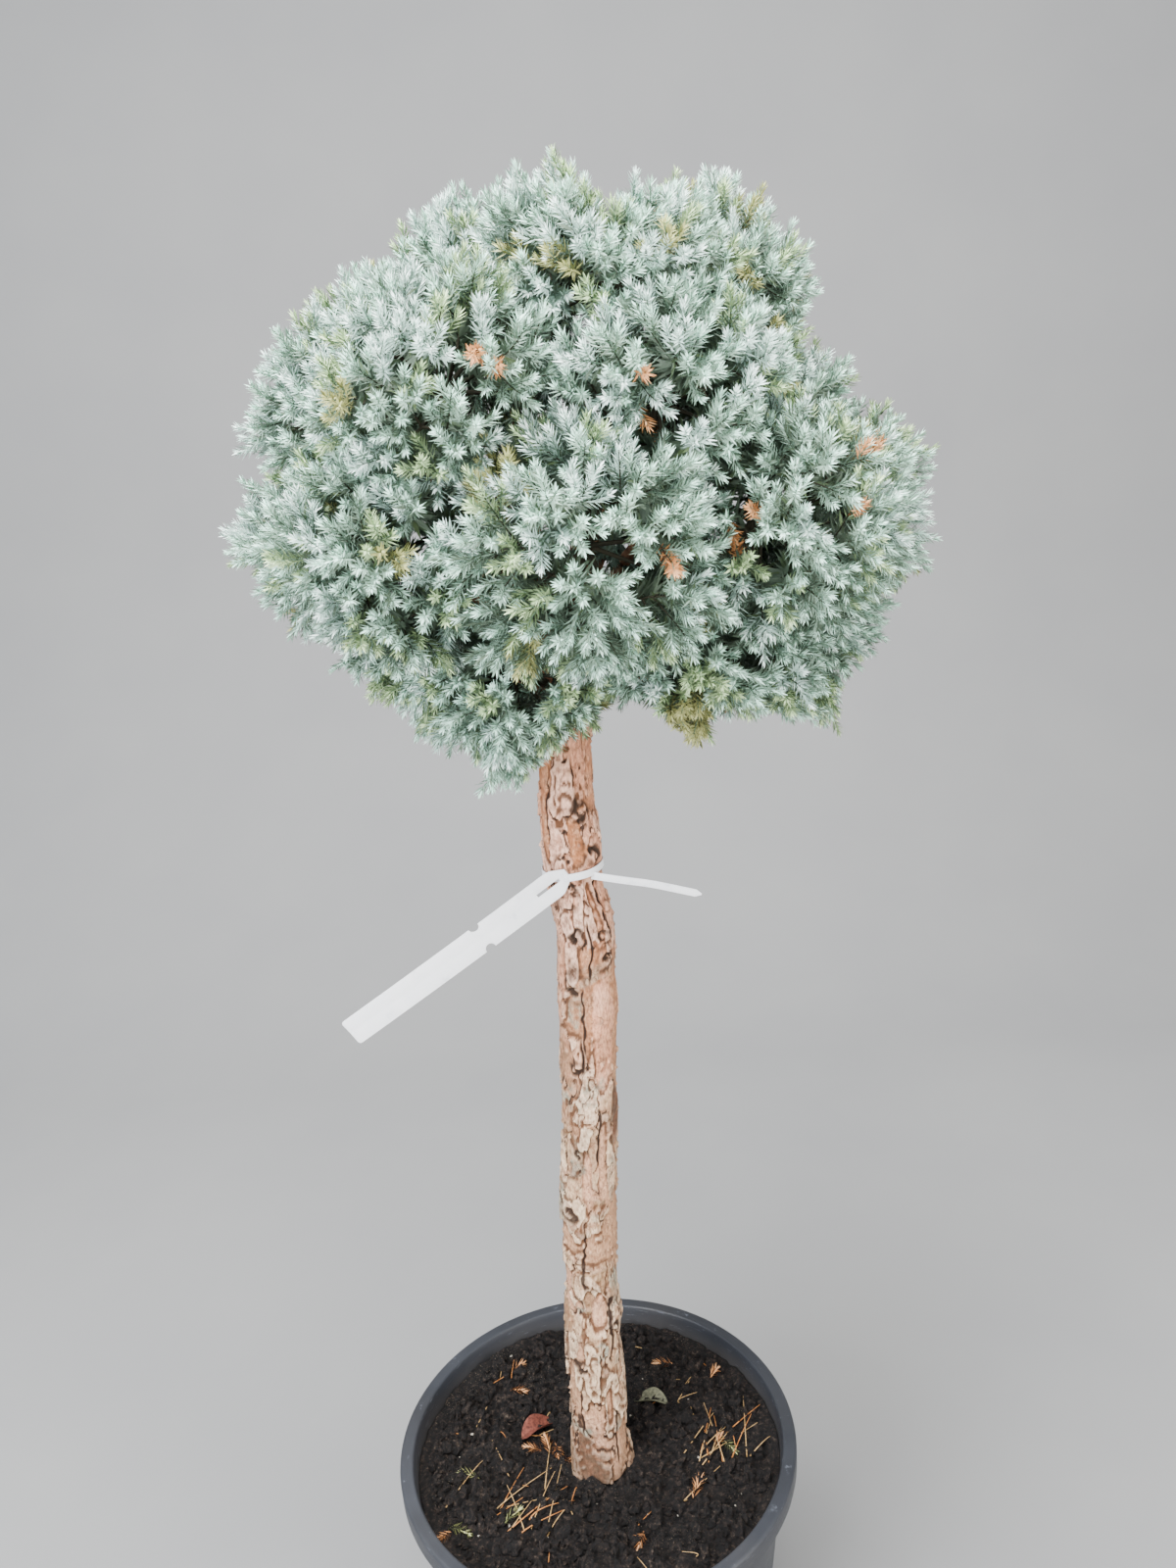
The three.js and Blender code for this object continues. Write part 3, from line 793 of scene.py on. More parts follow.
BOUGH_STOPS = ((0.3, 0x4A382C), (0.5, 0x80614A), (0.68, 0xA58263))
BOUGH_FINISH = StreakFinish("bough_bark", BOUGH_STOPS, 0.85, 0.2, (160, 5, 0.6), (1, 1, 0.5), 0.0015)


def litter(name: str, dark: int, pale: int) -> Material:
    """The material of dry plant litter with streaks of two colours."""
    return StreakFinish(name, ((0.35, dark), (0.65, pale))).build()


@dataclass(frozen=True)
class PotFinish:
    """Dark moulded plastic, dulled and scuffed along its rim and splashed near its soil."""

    body: int = 0x26282D
    clouds: int = 0x35383F
    dust: int = 0x5A544C
    worn: int = 0x848A96

    def build(self) -> Material:
        """The material of the pot."""
        paint = Paint("pot_plastic", 0.5, 0.45)
        clouds = paint.noise(9, detail=5)
        grain = paint.noise(900, detail=3)
        scratches = paint.noise(55, detail=6, roughness=0.75, stretch=(1, 1, 9))
        body = paint.mixed(paint.span(clouds, 0.35, 0.7, 0, 0.6), self.body, self.clouds)
        dusty = paint.covered(body, "dust", 0.3, self.dust)
        lines = paint.product(paint.span(scratches, 0.6, 0.74), paint.field("wear"))
        colour = paint.mixed(paint.span(lines, 0, 1, 0, 0.75), dusty, self.worn)
        rough = paint.span(clouds, 0.3, 0.7, 0.38, 0.6)
        height = paint.sum(paint.product(grain, 0.35), lines, "SUBTRACT")
        return paint.finish(colour, rough, height, 0.0003)


@dataclass(frozen=True)
class SoilFinish:
    """Crumbly potting soil, dark where damp."""

    crumbs: Stops = ((0.38, 0x050404), (0.5, 0x191412), (0.58, 0x3A2E27), (0.68, 0x75675A))
    damp: int = 0x100D0C
    specks: int = 0x8C7B68

    def build(self) -> Material:
        """The material of the soil and its clods."""
        paint = Paint("potting_soil", 0.8, 0.35)
        damp = paint.noise(14, detail=4)
        crumbs = paint.noise(190, detail=10, roughness=0.76)
        specks = paint.span(paint.specks(420), 0.12, 0.2, 1, 0)
        ground = paint.ramp(crumbs, *self.crumbs)
        wet = paint.mixed(paint.span(damp, 0.4, 0.65, 0, 0.55), ground, self.damp)
        dotted = paint.mixed(paint.product(specks, paint.span(damp, 0.5, 0.6, 0, 0.8)), wet, self.specks)
        return paint.finish(dotted, None, crumbs, 0.009)


@dataclass(frozen=True)
class TagFinish:
    """Smooth white label plastic with a little grime."""

    white: Stops = ((0.3, 0xDADDE2), (0.42, 0xF0F2F5), (0.8, 0xFAFBFC))

    def build(self) -> Material:
        """The material of the tag."""
        paint = Paint("tag_plastic", 0.38, 0.5)
        grime = paint.noise(60, detail=6, roughness=0.7)
        rough = paint.span(grime, 0.3, 0.7, 0.5, 0.3)
        return paint.finish(paint.ramp(grime, *self.white), rough, grime, 0.0001)


@dataclass(frozen=True)
class StudioFinish:
    """The plain pale floor and backdrop."""

    colour: int = 0x959594
    other: int = 0x919191

    def build(self) -> Material:
        """The material of the floor and backdrop."""
        paint = Paint("pale_floor", 0.9, 0.2)
        mottle = paint.noise(3, detail=3)
        return paint.finish(paint.mixed(paint.span(mottle, 0.3, 0.7, 0, 1), self.colour, self.other))


@dataclass(frozen=True)
class Stem:
    """The trunk's lean, width, flare and knots, as in the solids."""

    stations: tuple[Spot, ...] = (
        (331.3, 2.5, -3, 54), (467, 4.6, -3, 55), (623, 11, -2, 54), (788, 21.6, -1, 54),
        (922, 29, 0, 52), (957, 28, 0, 53.5), (991, 22, 0, 48), (1030, 21.5, 0, 52),
        (1067, 20.4, 0, 47.5), (1126, 24.4, 0, 43), (1240, 31, 0, 38),
    )
    knots: tuple[Spot, ...] = (
        (398, 250, 3, 20), (520, 330, 3, 18), (655, 215, 2.5, 18), (862, 262, 4, 24),
        (930, 268, 4, 22), (1022, 300, 5, 14), (1068, 285, 5, 16), (1100, 130, 4, 18),
    )
    flare: float = 7
    flare_height: float = 22
    root_lobes: int = 5
    root_lobe_depth: float = 0.25

    @property
    def foot(self) -> float:
        """The height of the trunk's flat foot."""
        return self.stations[0][0]

    @property
    def fork(self) -> float:
        """The height of the trunk's top."""
        return self.stations[-1][0]

    def at(self, height: Array) -> Array:
        """Middle and width at some heights.

        Args:
            height: Heights in millimetres.

        Returns:
            Lean to the right, lean to the back, and width, along the last axis.
        """
        rows = np.array(self.stations, float)
        heights, values = rows[:, 0], rows[:, 1:]
        before = np.maximum(np.arange(len(rows)) - 1, 0)
        after = np.minimum(np.arange(len(rows)) + 1, len(rows) - 1)
        slopes = (values[after] - values[before]) / (heights[after] - heights[before])[:, None]
        low = np.clip(np.searchsorted(heights, height, side="right") - 1, 0, len(rows) - 2)
        span = (heights[low + 1] - heights[low])[..., None]
        t = np.clip((np.asarray(height) - heights[low])[..., None] / span, 0, 1)
        start, rise = values[low], slopes[low] * span
        end, settle = values[low + 1], slopes[low + 1] * span
        return (
            (2 * t**3 - 3 * t**2 + 1) * start
            + (t**3 - 2 * t**2 + t) * rise
            + (3 * t**2 - 2 * t**3) * end
            + (t**3 - t**2) * settle
        )

    def middle(self, height: Array | float) -> Array:
        """Points on the trunk's own line at some heights."""
        height = np.asarray(height, float)
        return np.concatenate([self.at(height)[..., :2], height[..., None]], axis=-1)

    def radius(self, height: Array | float, bearing: Array | float) -> Array:
        """The trunk's radius, with flare and knots.

        Args:
            height: Heights in millimetres.
            bearing: Bearings in radians.

        Returns:
            Radii in millimetres.
        """
        height, bearing = np.asarray(height, float), np.asarray(bearing, float)
        width = self.at(height)[..., 2]
        lobes = 1 - self.root_lobe_depth * (1 - np.cos(self.root_lobes * bearing))
        radius = width / 2 + self.flare * lobes * np.exp(-(height - self.foot) / self.flare_height)
        for level, degrees, out, size in self.knots:
            around = (1 - np.cos(bearing - math.radians(degrees))) * (width / 2) ** 2 / size**2
            radius = radius + out * np.exp(-(((height - level) / size) ** 2) - 2 * around)
        return radius


STEM = Stem()


@dataclass(frozen=True)
class Tier:
    """One ring of foliage masses, as in the rule of the solids."""

    name: str
    count: int
    level: float
    tilt: float
    middle: float
    reach_x: float
    reach_y: float
    across: float
    up: float
    fork: float
    arch: float
    lift: float
    bough: float


TIERS = (
    Tier("top", 4, 1491, 0, 80, 84, 92, 110, 98, 1236, 0, 0.3, 5.6),
    Tier("upper", 6, 1414, -18, 36, 154, 142, 118, 100, 1212, 24, 0.25, 6.4),
    Tier("middle", 8, 1311, 8, 53, 186, 168, 118, 102, 1184, 30, 0.1, 5.8),
    Tier("skirt", 6, 1209, 0, 62, 146, 112, 108, 82, 1152, 24, -0.25, 5.2),
)
BEARING_NAMES = ("right", "back_right", "back", "back_left", "left", "front_left", "front", "front_right")

# Where the viewer sees dead shoots and dull old sprays: to the right, height, and how far round
DEAD_SPOTS = (
    (122, 1264, 11), (113, 1386, 11), (112, 1424, 9), (190, 1308, 10), (182, 1284, 9), (-24, 1462, 8),
    (-10, 1439, 7), (302, 1364, 7),
)
OLIVE_SPOTS = ((131, 1128, 24),)


@dataclass(frozen=True)
class GrowthRule:
    """The rule of the solids, and how it is carried on to finer twigs and needles."""

    heart: Point = (52, 0, 1270)
    first_seed: int = 101
    seed_step: int = 17
    core_share: float = 0.78
    cell_margin: float = 0.4
    trunk_clearance: float = 34
    hollow_radius: float = 52
    bough_tip_radius: float = 4.2
    bough_root_share: float = 0.62
    bough_bend: float = 0.5
    stem_shows: float = 7
    twigs: int = 12
    shoots_per_twig: int = 3
    fork_depth: float = 0.62
    shoot_spread: float = 0.5
    inward_limit: float = -0.25
    tip_reach_low: float = 0.94
    tip_reach_span: float = 0.12
    # Finer twigs
    limb_reach: float = 0.7
    cover: int = 215
    cover_jitter: float = 0.05
    valley: float = 0.1
    valley_from: float = 0.86
    valley_to: float = 1.3
    crest: float = 1.06
    crevice: float = 0.17
    crevice_angle: float = 0.48
    unevenness: float = 0.035
    overlap: float = 0.86
    side_shoots: int = 4
    terminal_length: float = 36
    sag: float = 9
    side_from_tip: float = 11
    side_gap: float = 8.5
    side_angle: float = 30
    side_angle_step: float = 5
    side_length: float = 20
    side_length_step: float = 3.4
    side_bend: float = 0.55
    trunk_gap: float = 40
    rise_from: float = 1130
    rise_to: float = 1520
    rise_low: float = -0.7
    rise_high: float = 1.1
    # Shares of the kinds of spray, which change with height, and of single dead shoots. Paler frost sprays
    # grow commoner higher up and green ones lower down, partly their own colours and partly painted light
    # from above
    frost_levels: Span = (1180, 1560)
    frost_share: float = 0.14
    frost_rise: float = 0.2
    green_share: float = 0.26
    green_fall: float = 0.12
    olive_share: float = 0.03
    dead_share: float = 0.0035
    # Needles
    whorl_gap: float = 1.88
    needle_length: float = 9.3
    needle_width: float = 1.54
    old_whorl_gap: float = 5.6
    limb_needles: int = 54
    whorl: int = 3
    needle_foot: float = 0.4
    needle_belly: float = 0.34
    needle_fold: float = 0.35
    needle_curl: float = 0.07
    length_spread: Span = (0.88, 1.1)
    width_spread: Span = (0.85, 1.12)
    old_needle_angle: float = 58
    old_needle_length: Span = (10, 14)
    old_needle_half_width: Span = (1.1, 1.6)
    needle_angle: float = 54
    needle_angle_fall: float = 26
    # Painted light and shade: a needle whose upper side faces out of the crown past the first level takes the
    # lit copy, past the second the half-shaded copy, and otherwise the shaded copy. Pale tips also stand for
    # a painted highlight, and old needles take the shaded copy.
    light_above: float = 0.05
    mid_above: float = -0.4
    tip_tone_from: float = 0.72
    tip_tone_chance: float = 0.68
    old_tone_to: float = 0.34
    old_tone_chance: float = 0.55
    # Radius at the root and at the tip, sides, lengths, and finish of the wood
    stem_tube: Tube = (4.2, 2.6, 8, 3, 0)
    twig_tube: Tube = (2.0, 1.4, 5, 2, 0)
    limb_tube: Tube = (1.3, 0.8, 4, 3, 0)
    branchlet_tube: Tube = (0.75, 0.4, 3, 3, 0)
    shoot_tube: Tube = (0.5, 0.3, 3, 1, 1)


RULE = GrowthRule()


class Mass:
    """One mass of foliage, which keeps to the same space as its solid."""

    def __init__(self, tier: Tier, place_in_tier: int, number: int) -> None:
        """Places a mass on its tier.

        Args:
            tier: The mass's tier.
            place_in_tier: Its place round the tier.
            number: Its place in the whole crown.
        """
        turn = FULL_TURN * place_in_tier / tier.count
        bearing = round(turn / (FULL_TURN / len(BEARING_NAMES))) % len(BEARING_NAMES)
        self.tier = tier
        self.name = f"{tier.name}_{BEARING_NAMES[bearing]}"
        self.heart = xyz(
            tier.middle + tier.reach_x * math.cos(turn),
            tier.reach_y * math.sin(turn),
            tier.level + tier.tilt * math.cos(turn),
        )
        self.size = (tier.across + tier.up) / 2
        self.seed = RULE.first_seed + number * RULE.seed_step
        self.fences: list[tuple[Array, float]] = []
        self.bough = Axes(*np.zeros((3, 1, 3)))

    def fence_off(self, masses: list["Mass"]) -> None:
        """Sets the planes that keep the mass to its own space.

        Args:
            masses: Every mass of the crown.
        """
        for other in masses:
            if other is self:
                continue
            normal = other.heart - self.heart
            apart = float(np.linalg.norm(normal))
            self.fences.append((normal / apart, apart * self.size / (self.size + other.size)))
        inward = STEM.middle(min(self.heart[2], STEM.fork)) - self.heart
        inward[2] = 0
        away = float(np.linalg.norm(inward))
        clearance = RULE.trunk_clearance if self.heart[2] < STEM.fork else RULE.hollow_radius
        if away > clearance + self.size / 2:
            self.fences.append((inward / away, away - clearance))

    def reach(self, directions: Array) -> tuple[Array, Array]:
        """How far the mass and its space reach from its heart.

        Args:
            directions: Unit vectors along the last axis.

        Returns:
            The free reach of its tips, and the distance to its fences.
        """
        size = np.array([self.tier.across, self.tier.across, self.tier.up])
        free = 1 / np.linalg.norm(directions / size, axis=-1)
        fenced = np.full(free.shape, np.inf)
        for normal, distance in self.fences:
            slant = directions @ normal
            ahead = slant > 1e-9
            limit = (distance - RULE.cell_margin) / np.where(ahead, slant, 1)
            fenced = np.where(ahead, np.minimum(fenced, limit), fenced)
        return free, fenced

    def grow_bough(self) -> None:
        """Sets the curve of the bough from the trunk to the mass's inner side."""
        tier = self.tier
        middle = STEM.middle(tier.fork)
        outward = self.heart - middle
        outward[2] = 0
        root = middle + unit(outward) * RULE.bough_root_share * STEM.radius(tier.fork, 0.0)
        arrival = unit(root + UP * tier.arch - self.heart)
        free, fenced = self.reach(arrival)
        entry = min(free * RULE.core_share, fenced) + RULE.stem_shows
        entry = min(entry, fenced - 2 * RULE.bough_tip_radius)
        end = self.heart + arrival * entry
        bend = end + arrival * RULE.bough_bend * np.linalg.norm(end - root)
        self.bough = Axes(root[None], bend[None], end[None])

    def main_shoots(self) -> Iterator[tuple[Array, Array, float]]:
        """The shoots of the solids' rule.

        Yields:
            Each shoot's fork, its direction from the heart, and how far it stretches.
        """
        draw = seeded(self.seed)
        outward = unit(self.heart - np.array(RULE.heart))
        phase = draw() * FULL_TURN
        for i in range(RULE.twigs):
            height = 1 - (2 * i + 1) / RULE.twigs
            flat = math.sqrt(1 - height * height)
            turn = phase + i * GOLDEN_TURN
            direction = np.array([flat * math.cos(turn), flat * math.sin(turn), height])
            free, fenced = self.reach(direction)
            fork = self.heart + direction * min(free * RULE.core_share, fenced) * RULE.fork_depth
            side = turned(square_to(direction), direction, draw() * FULL_TURN)
            for k in range(RULE.shoots_per_twig):
                swing = turned(side, direction, FULL_TURN * k / RULE.shoots_per_twig)
                aim = unit(direction + swing * RULE.shoot_spread + UP * self.tier.lift / 2)
                stretch = RULE.tip_reach_low + RULE.tip_reach_span * draw()
                draw()
                if aim @ outward >= RULE.inward_limit:
                    yield fork, aim, stretch


@dataclass
class Growth:
    """Everything that grows in one mass."""

    twigs: Axes
    limbs: Axes
    branchlets: Axes
    shoots: Axes
    owner: Array

    def moved(self, move: Callable[[Array], Array]) -> "Growth":
        """The growth after its points have been moved."""
        axes = (part.moved(move) for part in (self.twigs, self.limbs, self.branchlets, self.shoots))
        return Growth(*axes, self.owner)


@dataclass(frozen=True)
class Profile:
    """The crown's outline as the viewer sees it, at the trunk's own distance."""

    eye: Point = (41, -1054.3, 1400)
    middle: Span = (52, 1330)
    reaches: tuple[float, ...] = (
        294, 289, 262, 244, 240, 255, 268, 272, 278, 271, 247, 239,
        265, 263, 250, 264, 252, 264, 267, 269, 276, 282, 285, 288,
        296, 295, 278, 267, 254, 245, 238, 258, 238, 266, 246, 209,
        201, 182, 180, 237, 225, 249, 299, 278, 282, 292, 300, 298,
    )
    needles: float = 4
    still: float = 0.5
    moved: float = 0.95

    def nearness(self, points: Array) -> Array:
        """How much larger than at the trunk the viewer sees things at some points."""
        return self.eye[1] / (self.eye[1] - points[..., 1])

    def seen(self, points: Array) -> tuple[Array, Array]:
        """Where the viewer sees some points: to the right and up, at the trunk's distance."""
        near = self.nearness(points)
        return tuple(self.eye[i] + (points[..., i] - self.eye[i]) * near for i in (0, 2))

    def flat(self, points: Array) -> tuple[Array, Array]:
        """Bearings and reaches round the crown's middle at which the viewer sees some points."""
        x, z = (seen - middle for seen, middle in zip(self.seen(points), self.middle))
        return np.arctan2(z, x) % FULL_TURN, np.hypot(x, z)

    def fit(self, tips: Array) -> Callable[[Array], Array]:
        """Finds how the crown is drawn out or in, so that its tips meet the outline.

        Args:
            tips: The tips of every shoot.

        Returns:
            A function that moves points.
        """
        count = len(self.reaches)
        bearing, reach = self.flat(tips)
        nearest = np.round(bearing / FULL_TURN * count).astype(int) % count
        grown = np.array([np.sort(reach[nearest == k])[-4] for k in range(count)])
        grown = (np.roll(grown, 1) + 2 * grown + np.roll(grown, -1)) / 4
        change = (np.array(self.reaches) - self.needles) / grown

        def move(points: Array) -> Array:
            """Moves points to their places in the fitted crown.

            Args:
                points: Points of the grown crown.

            Returns:
                The moved points.
            """
            bearing, reach = self.flat(points)
            place = bearing / FULL_TURN * count
            low = np.floor(place).astype(int) % count
            share = place - np.floor(place)
            local = change[low] * (1 - share) + change[(low + 1) % count] * share
            edge = grown[low] * (1 - share) + grown[(low + 1) % count] * share
            shift = reach * (local - 1) * eased(self.still, self.moved, reach / edge) / self.nearness(points)
            return points + xyz(shift * np.cos(bearing), 0, shift * np.sin(bearing))

        return move


@dataclass
class Blades:
    """Needles as folded lances of two faces.

    Each leaves its shoot at base. The shoot goes along there, and the needle opens from it
    by an angle in radians, to its radial side. The width is half of the needle's.
    """

    base: Array
    along: Array
    radial: Array
    opening: Array
    size: Array
    width: Array

    def upper(self) -> Array:
        """The directions that the upper sides face."""
        opening = self.opening[:, None]
        return self.along * np.sin(opening) - self.radial * np.cos(opening)

    def add_to(self, shell: Shell, finish: Array) -> None:
        """Adds the needles to a piece.

        Args:
            shell: The piece.
            finish: The number of each needle's finish.
        """
        opening, size, width = self.opening[:, None], self.size[:, None], self.width[:, None]
        blade, upper = self.along * np.cos(opening) + self.radial * np.sin(opening), self.upper()
        foot = self.base + self.radial * RULE.needle_foot
        belly = foot + blade * size * RULE.needle_belly + upper * width * RULE.needle_fold
        tip = foot + blade * size + upper * size * RULE.needle_curl
        side = np.cross(self.along, self.radial) * width
        faces = repeated(np.array([[0, 1, 2], [0, 2, 3]]), len(foot), 4)
        shell.add(np.stack([foot, belly + side, tip, belly - side], axis=1), faces, np.repeat(finish, 2))


class Crown:
    """The crown: its masses, boughs, twigs, shoots and needles."""

    def __init__(self) -> None:
        """Places the masses and their boughs."""
        self.masses: list[Mass] = []
        for tier in TIERS:
            for i in range(tier.count):
                self.masses.append(Mass(tier, i, len(self.masses)))
        for mass in self.masses:
            mass.fence_off(self.masses)
        for mass in self.masses:
            mass.grow_bough()
        self.needle_finishes = [finish for spray in SPRAYS for finish in spray.build()]
        self.twig_finishes = TwigFinish().build()
        self.profile = Profile()

    def grow(self, mass: Mass) -> Growth:
        """Grows one mass from its stem to its finest shoots.

        Args:
            mass: The mass to grow.

        Returns:
            Its twigs, limbs, branchlets and shoots.
        """
        rng = np.random.default_rng(mass.seed)
        forks, aims, stretch = (np.array(values) for values in zip(*mass.main_shoots()))
        hearts = np.broadcast_to(mass.heart, forks.shape)
        free, fenced = mass.reach(aims)
        ends = hearts + aims * (np.minimum(free * stretch, fenced) * RULE.limb_reach)[:, None]
        twigs, limbs = straight(hearts, forks), straight(forks, ends)

        order = np.arange(RULE.cover) + 0.5
        height = 1 - 2 * order / RULE.cover
        turn = order * GOLDEN_TURN + rng.uniform(0, FULL_TURN)
        flat = np.sqrt(1 - height**2)
        aim = xyz(flat * np.cos(turn), flat * np.sin(turn), height)
        aim = unit(aim + rng.normal(0, RULE.cover_jitter, aim.shape))
        free, fenced = mass.reach(aim)
        seen = fenced > RULE.overlap * free
        aim, free, fenced = aim[seen], free[seen], fenced[seen]
        parent = np.argmax(aim @ aims.T, axis=1)
        stray = np.arccos(np.clip(np.sum(aim * aims[parent], axis=-1), -1, 1))
        crown = RULE.crest - RULE.crevice * np.clip(stray / RULE.crevice_angle, 0, 1) ** 2
        crown = crown + rng.normal(0, RULE.unevenness, len(aim))
        crown = crown * (1 - RULE.valley * (1 - eased(RULE.valley_from, RULE.valley_to, fenced / free)))
        tips = mass.heart + aim * np.minimum(free * crown, fenced)[:, None]
        roots = limbs.kept(parent).point(np.clip(0.95 - stray, 0.3, 0.95))
        branchlets = straight(roots, tips, -RULE.sag * self.rise(tips))
        shoots, owner = self.side_shoots(branchlets, rng)
        return Growth(twigs, limbs, branchlets, shoots, owner)

    def rise(self, points: Array) -> Array:
        """How shoots turn up, high in the crown, or hang, low in it."""
        share = eased(RULE.rise_from, RULE.rise_to, points[..., 2:])
        return UP * (RULE.rise_low + (RULE.rise_high - RULE.rise_low) * share)

    def side_shoots(self, branchlets: Axes, rng: Rng) -> tuple[Axes, Array]:
        """The shoots of a mass: one at the end of each branchlet, and some at its sides.

        Args:
            branchlets: The branchlets that carry them.
            rng: Source of random numbers.

        Returns:
            The shoots, and the number of the branchlet that carries each.
        """
        count, many = len(branchlets.root), RULE.side_shoots
        length = branchlets.length()
        start = np.clip(1 - RULE.terminal_length / length, 0.1, 0.7)
        numbers = np.arange(count)
        terminal = Axes(branchlets.point(start), branchlets.point((1 + start) / 2), branchlets.tip)

        owner = np.repeat(numbers, many)
        order = np.tile(np.arange(many), count)
        back = RULE.side_from_tip + RULE.side_gap * order + rng.uniform(-2, 2, len(owner))
        share = np.clip(1 - back / length[owner], 0.02, 0.95)
        carriers = branchlets.kept(owner)
        roots, ahead = carriers.point(share), carriers.along(share)
        turn = rng.uniform(0, FULL_TURN, count)[owner] + order * GOLDEN_TURN
        sideways = turned(square_to(ahead), ahead, turn + rng.uniform(-0.3, 0.3, len(owner)))
        opening = RULE.side_angle + RULE.side_angle_step * order + rng.uniform(-7, 7, len(owner))
        opening = np.radians(opening)[:, None]
        aim = ahead * np.cos(opening) + sideways * np.sin(opening)
        size = RULE.side_length + RULE.side_length_step * order + rng.uniform(-3, 3, len(owner))
        size = size[:, None]
        bends = roots + aim * size * RULE.side_bend
        bent = unit(aim * 0.55 + ahead * 0.65 + self.rise(roots) * 0.6)
        sides = Axes(roots, bends, bends + bent * size * (1 - RULE.side_bend))

        shoots = terminal.joined(sides)
        owner = np.concatenate([numbers, owner])
        middle = STEM.middle(np.minimum(shoots.tip[:, 2], STEM.fork))
        clear = np.linalg.norm((shoots.tip - middle)[:, :2], axis=-1) > RULE.trunk_gap
        stays = clear | (shoots.tip[:, 2] > STEM.fork + 30)
        return shoots.kept(stays), owner[stays]

    def tints(self, growth: Growth, rng: Rng) -> Array:
        """The kind of each shoot, by its spray's place and by chance.

        Args:
            growth: The branchlets, each with a spray of its own, and their shoots.
            rng: Source of random numbers.

        Returns:
            A number of Tint for each shoot.
        """
        branchlets, shoots, owner = growth.branchlets, growth.shoots, growth.owner
        chance = rng.random(len(branchlets.tip))
        # Paler frost sprays are commoner higher up and greener ones lower down, partly as painted light from
        # above.
        height = eased(*RULE.frost_levels, branchlets.tip[:, 2])
        sprays = np.full(len(chance), Tint.BLUE)
        sprays[chance < RULE.frost_share + RULE.frost_rise * height] = Tint.FROST
        sprays[chance > 1 - RULE.green_share + RULE.green_fall * height] = Tint.GREEN
        sprays[chance > 1 - RULE.olive_share] = Tint.OLIVE
        tints = sprays[owner]
        seen_x, seen_z = self.profile.seen(shoots.tip)
        in_front = shoots.tip[:, 1] < 0
        for spots, tint in ((OLIVE_SPOTS, Tint.OLIVE), (DEAD_SPOTS, Tint.DEAD)):
            for x, z, size in spots:
                tints[in_front & (np.hypot(seen_x - x, seen_z - z) < size)] = tint
        tints[rng.random(len(tints)) > 1 - RULE.dead_share] = Tint.DEAD
        return tints

    def add_needles(self, shell: Shell, shoots: Axes, tints: Array, rng: Rng) -> None:
        """Adds the needles of some shoots, in whorls of three.

        Args:
            shell: The piece to add to.
            shoots: The shoots' axes.
            tints: A number of Tint for each shoot.
            rng: Source of random numbers.
        """
        whorls = np.maximum(5, np.round(shoots.length() / RULE.whorl_gap)).astype(int)
        owner = np.repeat(np.arange(len(whorls)), whorls)
        order = np.arange(len(owner)) - np.repeat(np.cumsum(whorls) - whorls, whorls)
        share = ((order + 0.8) / whorls[owner]) ** 0.8
        owner, order, share = (np.repeat(values, RULE.whorl) for values in (owner, order, share))
        count = len(owner)
        places = np.tile(FULL_TURN * np.arange(RULE.whorl) / RULE.whorl, count // RULE.whorl)
        spin = rng.uniform(0, FULL_TURN, len(whorls))[owner] + order * math.pi / RULE.whorl
        spin = spin + places + rng.normal(0, 0.16, count)

        axes = shoots.kept(owner)
        base, along = axes.point(share), axes.along(share)
        radial = turned(square_to(along), along, spin)
        opening = RULE.needle_angle - RULE.needle_angle_fall * share**2.2 + rng.normal(0, 7, count)
        size = RULE.needle_length * (0.86 + 0.2 * np.sin(math.pi * share) - 0.22 * share**4)
        size = size * rng.uniform(*RULE.length_spread, count)
        width = RULE.needle_width / 2 * rng.uniform(*RULE.width_spread, count)
        blades = Blades(base, along, radial, np.radians(opening), size, width)

        # Painted light and shade: a needle whose upper side faces out of the crown takes the lit copy of its
        # colour, and one that faces in takes the half-shaded or the shaded copy. Pale young tips, which also
        # stand for a painted highlight, go only on needles that face out. Old needles at a shoot's base take
        # the shaded copy, which is partly their own darker colour.
        outward = unit(base - np.array(RULE.heart))
        facing = np.sum(blades.upper() * outward, axis=-1) + rng.normal(0, 0.22, count)
        young = (share > RULE.tip_tone_from) & (facing > -0.25) & (rng.random(count) < RULE.tip_tone_chance)
        old = (share < RULE.old_tone_to) & (rng.random(count) < RULE.old_tone_chance)
        cases = [old, young, facing > RULE.light_above, facing > RULE.mid_above]
        tone = np.select(cases, [Tone.DEEP, Tone.TIP, Tone.LIGHT, Tone.MID], Tone.DEEP)
        blades.add_to(shell, tints[owner] * len(Tone) + tone)

    def add_old_needles(self, shell: Shell, growth: Growth, rng: Rng) -> None:
        """Adds the sparse, dark needles of the crown's inside, whose darkness is partly their own age and
        partly painted shade.

        Args:
            shell: The piece to add to.
            growth: The branchlets and limbs that carry them.
            rng: Source of random numbers.
        """
        whorls = np.maximum(2, (0.8 * growth.branchlets.length() / RULE.old_whorl_gap)).astype(int)
        carried = np.repeat(np.arange(len(whorls)), 2 * whorls)
        inner = np.repeat(np.arange(len(growth.limbs.root)), RULE.limb_needles)
        axes = growth.branchlets.kept(carried).joined(growth.limbs.kept(inner))
        count, deep = len(axes.root), np.arange(len(axes.root)) >= len(carried)
        share = rng.uniform(0.05, 0.75, count) + 0.2 * deep * rng.random(count)
        base, along = axes.point(share), axes.along(share)
        radial = turned(square_to(along), along, rng.uniform(0, FULL_TURN, count))
        opening = np.radians(rng.normal(RULE.old_needle_angle, 10, count) + 10 * deep)
        size = rng.uniform(*RULE.old_needle_length, count) + 8 * deep
        width = rng.uniform(*RULE.old_needle_half_width, count) + 0.6 * deep
        tint = np.where(rng.random(count) < 0.8, Tint.BLUE, Tint.GREEN)
